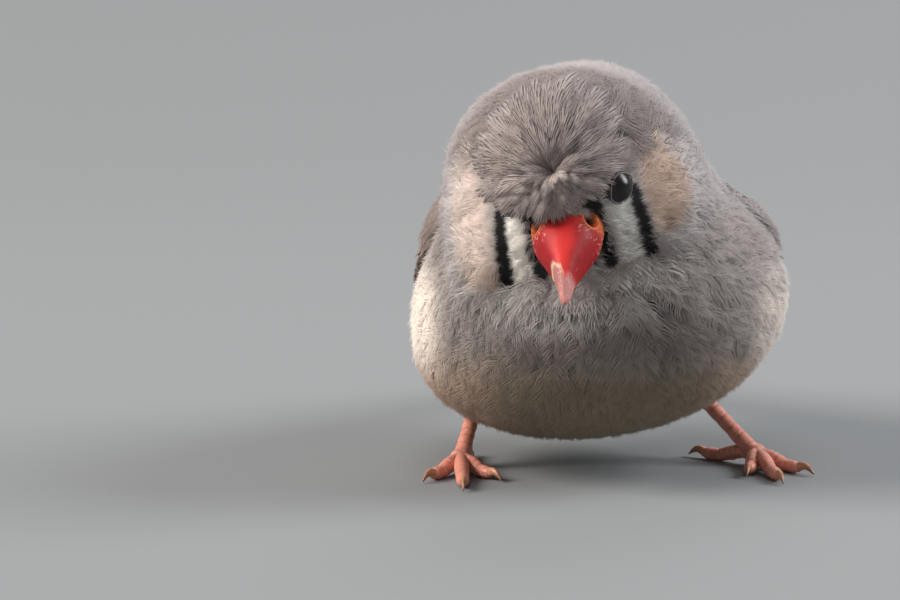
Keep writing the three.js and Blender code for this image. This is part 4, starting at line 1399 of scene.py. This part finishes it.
def tail():
    gathered = Gathered(30)
    stations = np.linspace(0, 1, 17)
    dark = vane_paint(TAIL_BLACK, TAIL_BLACK * 3, stations, VANE_COLUMNS)
    bars = smooth(-0.25, 0.25, np.sin(2 * math.pi * (2.4 * stations + 0.1)))[:, None, None]
    centre = smooth(0.35, 0.15, np.abs(VANE_COLUMNS))[None, :, None]
    barred = lerp(VENT_WHITE * 1.1, TAIL_BLACK, np.maximum(bars, 0.75 * centre))
    white = vane_paint(VENT_WHITE, VENT_WHITE * 1.1, stations, VANE_COLUMNS)
    for (count, *stepped, shift, half_width, droop, tip), paint in zip(TAIL_TIERS, (dark, barred, white)):
        for k in range(count):
            inset, length, splay, rise, roll = (first + step * k for first, step in stepped)
            for hand in (-1, 1):
                along = turn_about(tail_up, -hand * splay) @ tail_direction
                sideways = turn_about(along, hand * roll) @ unit(np.cross(tail_up, along))
                normals = np.repeat(unit(np.cross(along, sideways))[None], len(stations), 0)
                middle = TAIL_ROOT + hand * inset * X_AXIS + along * (length * stations)[:, None]
                middle = middle + tail_up * (rise + shift * hand - droop * stations ** 2)[:, None]
                width = half_width * vane_outline(stations, tip)
                add_vane(gathered, middle, normals, width, TAIL_VANE, paint, 0.2 * hand)
    long, wide, high = TAIL_CORE_RADII
    shares = np.linspace(-0.96, 0.96, 13)
    girth = np.sqrt(1 - shares ** 2)[:, None]
    core = TAIL_ROOT - 0.9 * tail_up + tail_direction * (long * shares)[:, None]
    around = circle(24)
    rings = rings_about(core, X_AXIS, tail_up, wide * girth * np.cos(around), high * girth * np.sin(around))
    gathered.add(rings, np.broadcast_to(VENT_WHITE * 0.8, rings.shape), vane=np.zeros(rings.shape))
    gathered.make("tail_feathers", vane_feather, "tail_plumage", nodes=("tail",), crease=50)


# Bill

BILL_BASE = 6.2
BILL_TIP = 17.3
BILL_ROUND = 1.4
BILL_STATIONS = [6.2, 7.7, 9.0, 10.4, 11.9, 13.2, 14.4, 15.4, 16.2, 16.9, 17.3]
BILL_HALF_WIDTHS = [3.7, 3.72, 3.52, 3.0, 2.18, 1.5, 0.99, 0.76, 0.6, 0.45, 0.12]
MOUTH_BASE = -2.6
MOUTH_TIP = -2.9
BILL_RED = np.array([0.62, 0.035, 0.03])
BILL_SIDE_SHADE = np.array([0.29, 0.014, 0.018])
BILL_ORANGE = np.array([0.6, 0.13, 0.035])
BILL_PALE = np.array([0.42, 0.21, 0.19])
BILL_CREAM = np.array([0.78, 0.6, 0.42])
NOSTRIL_SHADE = np.array([0.006, 0.004, 0.004])
NOSTRIL_PLACE = np.array([8.1, 2.95, 0.25])
NOSTRIL_DEPTH = 0.95

# Halves of the bill: side of the mouth, height of the ridge at the base and over the mouth at the tip, how
# the ridge bends, share of the bill's width, and how much shorter the half is
BILL_HALVES = {
    "upper": (1, 1.75, 0.5, 1.55, 1.0, 0.0),
    "lower": (-1, -6.1, -0.55, 1.15, 0.93, 0.9),
}


def bill_paint(forward, outward):
    """Paint and wear of the bill: sides painted a darker crimson as painted shade, an orange rim at the
    base, and a tip worn pale.
    """
    out = np.abs(outward)
    paint = np.broadcast_to(BILL_RED, outward.shape + (3,))
    # The sides are painted darker crimson, a painted shade where they turn away from the light
    paint = lerp(paint, BILL_SIDE_SHADE, (0.95 * smooth(0.2, 0.85, out) * smooth(17, 13, forward))[..., None])
    paint = lerp(paint, BILL_ORANGE, (0.85 * smooth(9.6, 7.4, forward) * smooth(0.3, 0.8, out))[..., None])
    chip = 14.0 + 0.7 * outward + 0.35 * np.sin(4.5 * outward + 1)
    past_chip = forward - chip - 0.16 * np.sin(11 * outward) - 0.07 * np.sin(27 * outward + 2)
    worn = smooth(-0.15, 0.9, past_chip)
    paint = lerp(paint, BILL_PALE, (0.85 * worn)[..., None])
    edge = np.exp(-((past_chip - 0.1) / 0.24) ** 2) * smooth(0.3, -0.3, outward)
    paint = lerp(paint, BILL_CREAM, (0.85 * edge)[..., None])
    wear = 0.02 + 0.1 * np.exp(-(past_chip / 0.9) ** 2) + 0.36 * worn
    return paint, wear + 0.32 * smooth(0.35, 0.6, out) * smooth(11.5, 9.5, forward)


def bill_half(name):
    away, ridge_base, ridge_tip, ridge_bend, breadth, shorter = BILL_HALVES[name]
    round_start = BILL_TIP - BILL_ROUND
    rounded = round_start + BILL_ROUND * np.sin(np.linspace(0.06, math.pi / 2, 20))
    forward = np.concatenate([np.linspace(BILL_BASE, round_start, 84), rounded])
    half = breadth * np.interp(forward, BILL_STATIONS, BILL_HALF_WIDTHS)
    kernel = np.hanning(7) / np.hanning(7).sum()
    half = np.concatenate([half[:3], np.convolve(half, kernel, "same")[3:-3], half[-3:]])[:, None]
    t = (forward - BILL_BASE) / (BILL_TIP - BILL_BASE)
    mouth = lerp(MOUTH_BASE, MOUTH_TIP, t) + away * 0.08 + 0.25 * np.sin(math.pi * np.clip(t * 1.4, 0, 1))
    ridge = lerp(ridge_base, MOUTH_TIP + ridge_tip, t ** ridge_bend)
    forward = (forward - shorter * t)[:, None]
    angle = np.linspace(0, math.pi, 73)
    inner = np.linspace(-0.92, 0.92, 13)
    outward = np.tile(np.concatenate([np.cos(angle), inner]), (len(forward), 1))
    over = (ridge - mouth)[:, None] * np.sin(angle) ** 0.85
    rise = mouth[:, None] + np.concatenate([over, 0.036 * away * (1 - inner ** 2) * half], 1)
    rings = on_head(forward, half * outward, rise)
    paint, wear = bill_paint(forward, outward)
    if name == "upper":
        local = np.stack(np.broadcast_arrays(forward, np.abs(half * outward), rise), -1)
        away_from = np.linalg.norm(local - NOSTRIL_PLACE, axis=-1)
        hollow = smooth(1.0, 0.55, away_from)
        lip = np.exp(-((away_from - 1.08) / 0.2) ** 2)
        inward = unit(on_head(8.2, 0, -1.0) - rings)
        rings = rings + inward * (NOSTRIL_DEPTH * hollow - 0.12 * lip)[..., None]
        paint = lerp(paint, BILL_ORANGE * 1.1, (0.8 * lip)[..., None])
        # Deep in the nostril's hollow it is painted near black, a painted shade
        paint = lerp(paint, NOSTRIL_SHADE, smooth(0.2, 0.6, hollow)[..., None])
        wear = wear * (1 - hollow)
    gathered = Gathered(1)
    gathered.add(rings, paint, wear=wear[..., None])
    gathered.make("bill_" + name + "_horn", bill_horn, "bill_horn", nodes=("bill_" + name,), crease=60)


# Eyes and lids

def frame_about(normal):
    """Two directions across a normal: towards the bill's tip and, square to it, towards the crown."""
    ahead = unit(head_forward - (head_forward @ normal) * normal)
    return ahead, np.cross(normal, ahead)


EYE_BULGE = 0.12
PUPIL_BLACK = np.array([0.003, 0.003, 0.004])
IRIS_BROWN = np.array([0.016, 0.006, 0.004])
LID_GREY = np.array([0.13, 0.125, 0.13])
LID_RADIUS = 1.58
LID_RISE = 1.42
LID_THICKNESS = 0.075
LID_FOLDS = 34


def eyeball(side):
    centre, normal = eyes[side]
    polar = np.radians(np.linspace(2, 178, 72))[:, None]
    around = circle(64)
    bulge = EYE_RADIUS + EYE_BULGE * smooth(0.75, 0.15, polar)
    girth = bulge * np.sin(polar)
    path = centre + normal * bulge * np.cos(polar)
    rings = rings_about(path, *frame_about(normal), girth * np.cos(around), girth * np.sin(around))
    iris = (smooth(0.58, 0.66, polar) * smooth(1.2, 1.1, polar))[..., None]
    streaks = 1 + 0.35 * np.sin(around * 31) * np.sin(around * 17 + 1)
    gathered = Gathered(1)
    gathered.add(rings, lerp(PUPIL_BLACK, IRIS_BROWN, iris) * lerp(1, streaks[None, :, None], iris))
    gathered.make("eyeball_" + side, eye_gloss, "eye", nodes=("eye_" + side,))


def lid(side):
    """Upper and lower lids as one ring, drawn to a corner fore and aft, with fine radial folds."""
    centre, normal = eyes[side]
    ahead, over = frame_about(normal)
    around = circle(96)[:, None]
    across = circle(14)
    corner = 0.16 * np.exp(-(np.abs(np.sin(around)) / 0.3) ** 2)
    outward = ahead * np.cos(around) + over * np.sin(around)
    path = centre + outward * (LID_RADIUS + corner) + normal * LID_RISE
    thick = LID_THICKNESS * (1 + 0.1 * np.sin(LID_FOLDS * around) * np.maximum(np.cos(across), 0))
    wide, high = 1.25 * thick * np.cos(across), thick * np.sin(across)
    rings = rings_about(path, outward[:, None], normal, wide, high)
    # The folds' ridges are painted lighter than the creases between them, painted light and shade
    shade = (0.8 + 0.3 * np.maximum(np.sin(LID_FOLDS * around), 0))[..., None]
    paint = np.broadcast_to(LID_GREY * shade, rings.shape)
    gathered = Gathered(1)
    gathered.add(*(np.concatenate([values, values[:1]]) for values in (rings, paint)))
    gathered.make("lids_" + side, lid_skin, "crown_plumage")


# Legs and feet

FLOOR_CLEARANCE = 0.72
SHANK_RADIUS = 0.95
TOE_RADIUS = 0.86
CLAW_LENGTH = 2.3
SKIN_ORANGE = np.array([0.63, 0.24, 0.168])
CLAW_HORN = np.array([0.5, 0.22, 0.125])
PAD_WARMTH = np.array([1.06, 1.25, 1.35])
JOINT_RADIUS = 1.32
FLOOR_GAP = 0.02

# Girths by share of the length
SHANK_GIRTHS = ([0, 0.12, 0.35, 0.65, 0.9, 1], [1.25, 1.2, 0.92, 0.9, 1.02, 1.05])
TOE_GIRTHS = ([0, 0.2, 0.45, 0.7, 0.88, 1], [1.12, 0.9, 1.02, 0.86, 0.88, 0.6])
CLAW_RADII = ([0, 0.35, 0.7, 1], [0.56, 0.46, 0.3, 0.07])

# Places of the ankle and of the joint of the toes, with each toe's tip as seen from there and its arch
LEGS = {
    "left": {
        "ankle": [10.2, 7.6, 9.6],
        "joint": [18.2, 0.6, 1.35],
        "toes": {
            "inner": ([-1.5, -5.6], 0.9),
            "middle": ([1.2, -9.2], 1.0),
            "outer": ([4.2, -4.6], 0.8),
            "rear": ([-5.4, 4.6], 0.9),
        },
    },
    "right": {
        "ankle": [-13.2, 4.6, 7.4],
        "joint": [-15.2, -2.6, 1.35],
        "toes": {
            "inner": ([3.2, -4.6], 0.8),
            "middle": ([0.2, -9.6], 1.0),
            "outer": ([-3.1, -5.2], 0.8),
            "rear": ([1.0, 7.4], 0.9),
        },
    },
}


def beside(path):
    """Directions square to a path: level to the side, and up from it."""
    along = unit(np.gradient(path, axis=0))
    helper = np.where(np.abs(along[:, 2:]) > 0.9, Y_AXIS, Z_AXIS)
    side = unit(np.cross(helper, along))
    return side[:, None], np.cross(along, side)[:, None]


def above_floor(rings):
    rings[..., 2] = np.maximum(rings[..., 2], FLOOR_GAP)
    return rings


def scaly_tube(gathered, path, radii, scales, paint, depth=0.07):
    """A limb with overlapping plates along its upper side and small pads along its lower side."""
    around = circle(24)
    share = np.linspace(0, 1, len(path))[:, None]
    phase = share * scales - 0.12 * np.abs(np.cos(around))
    saw = phase - np.floor(phase)
    plate = smooth(0, 0.3, saw) * (1 - 0.35 * saw)
    upper = smooth(-0.2, 0.3, np.sin(around))[None]
    pads = np.abs(np.sin(math.pi * share * scales * 0.8)) * (1 - upper)
    swell = radii[:, None] + depth * (plate * upper + 0.7 * pads) - depth
    rings = above_floor(rings_about(path, *beside(path), swell * np.cos(around), swell * np.sin(around)))
    # The upper side is painted darker where each plate rises from under the one before, a painted shade
    groove_shade = lerp(1.0, 0.72 + 0.42 * plate, upper)
    warm = lerp(1.0, PAD_WARMTH, 0.5 * (1 - upper)[..., None])
    gathered.add(rings, paint * groove_shade[..., None] * warm)


def toe_path(joint, toe, share):
    (dx, dy), rise = toe
    lift = rise * np.sin(math.pi * np.minimum(share * 1.5, 1)) * 0.55
    drop = lerp(joint[2], FLOOR_CLEARANCE, np.minimum(share * 2.2, 1))
    return np.stack([joint[0] + dx * share, joint[1] + dy * share, drop + lift], -1)


def claw(gathered, end, heading):
    share = np.linspace(0, 1, 22)[:, None]
    arch = 0.4 * np.sin(math.pi * share) - 0.45 * share ** 2
    path = end + heading * (CLAW_LENGTH * share - 0.25) + Z_AXIS * arch
    radii = np.interp(share, *CLAW_RADII)
    around = circle(16)
    rings = rings_about(path, *beside(path), 0.8 * radii * np.cos(around), radii * np.sin(around))
    tone = lerp(1.1, 0.45, share ** 1.4) * (1 + 0.08 * np.sin(around * 4))
    gathered.add(above_floor(rings), CLAW_HORN * tone[..., None])


def leg(side):
    ankle, joint, toes = (LEGS[side][key] for key in ("ankle", "joint", "toes"))
    ankle, joint = np.array(ankle), np.array(joint)
    skin = Gathered(6)
    share = np.linspace(0, 1, 90)
    girth = np.interp(share, *SHANK_GIRTHS) * SHANK_RADIUS
    scaly_tube(skin, lerp(ankle, joint, share[:, None]), girth, 9, SKIN_ORANGE, 0.09)
    pad = joint + Z_AXIS * lerp(-1.2, 1.25, share[::3, None])
    bulge = JOINT_RADIUS * np.sqrt(np.clip(1 - ((pad[:, 2] - joint[2]) / 1.3) ** 2, 0.02, 1))
    scaly_tube(skin, pad, bulge, 3, SKIN_ORANGE * 0.95, 0.04)
    for toe in toes.values():
        scales = round(math.hypot(*toe[0]) * 1.35)
        girth = np.interp(share, *TOE_GIRTHS) * TOE_RADIUS
        scaly_tube(skin, toe_path(joint, toe, share), girth, scales, SKIN_ORANGE)
    skin.make("leg_" + side + "_skin", leg_skin, "leg_skin", nodes=("shank_" + side, "foot_" + side))
    claws = Gathered(4)
    for toe in toes.values():
        claw(claws, toe_path(joint, toe, np.array(1.0)), unit([*toe[0], 0]))
    nodes = tuple("claw_" + side + "_" + toe for toe in toes)
    claws.make("claws_" + side, claw_horn, "claw_horn", nodes=nodes)


bpy.context.scene.view_settings.view_transform = "Standard"
add_camera()
add_stage()
add_lights()
body_coat()
face_coat()
ruff_coat()
throat_coat()
crest_coat()
tail()
bill_half("upper")
bill_half("lower")
for bird_side, side_hand in (("left", 1), ("right", -1)):
    wing(side_hand, bird_side)
    wing_coverts(side_hand, bird_side)
    shoulder_coat(side_hand, bird_side)
    eyeball(bird_side)
    lid(bird_side)
    leg(bird_side)
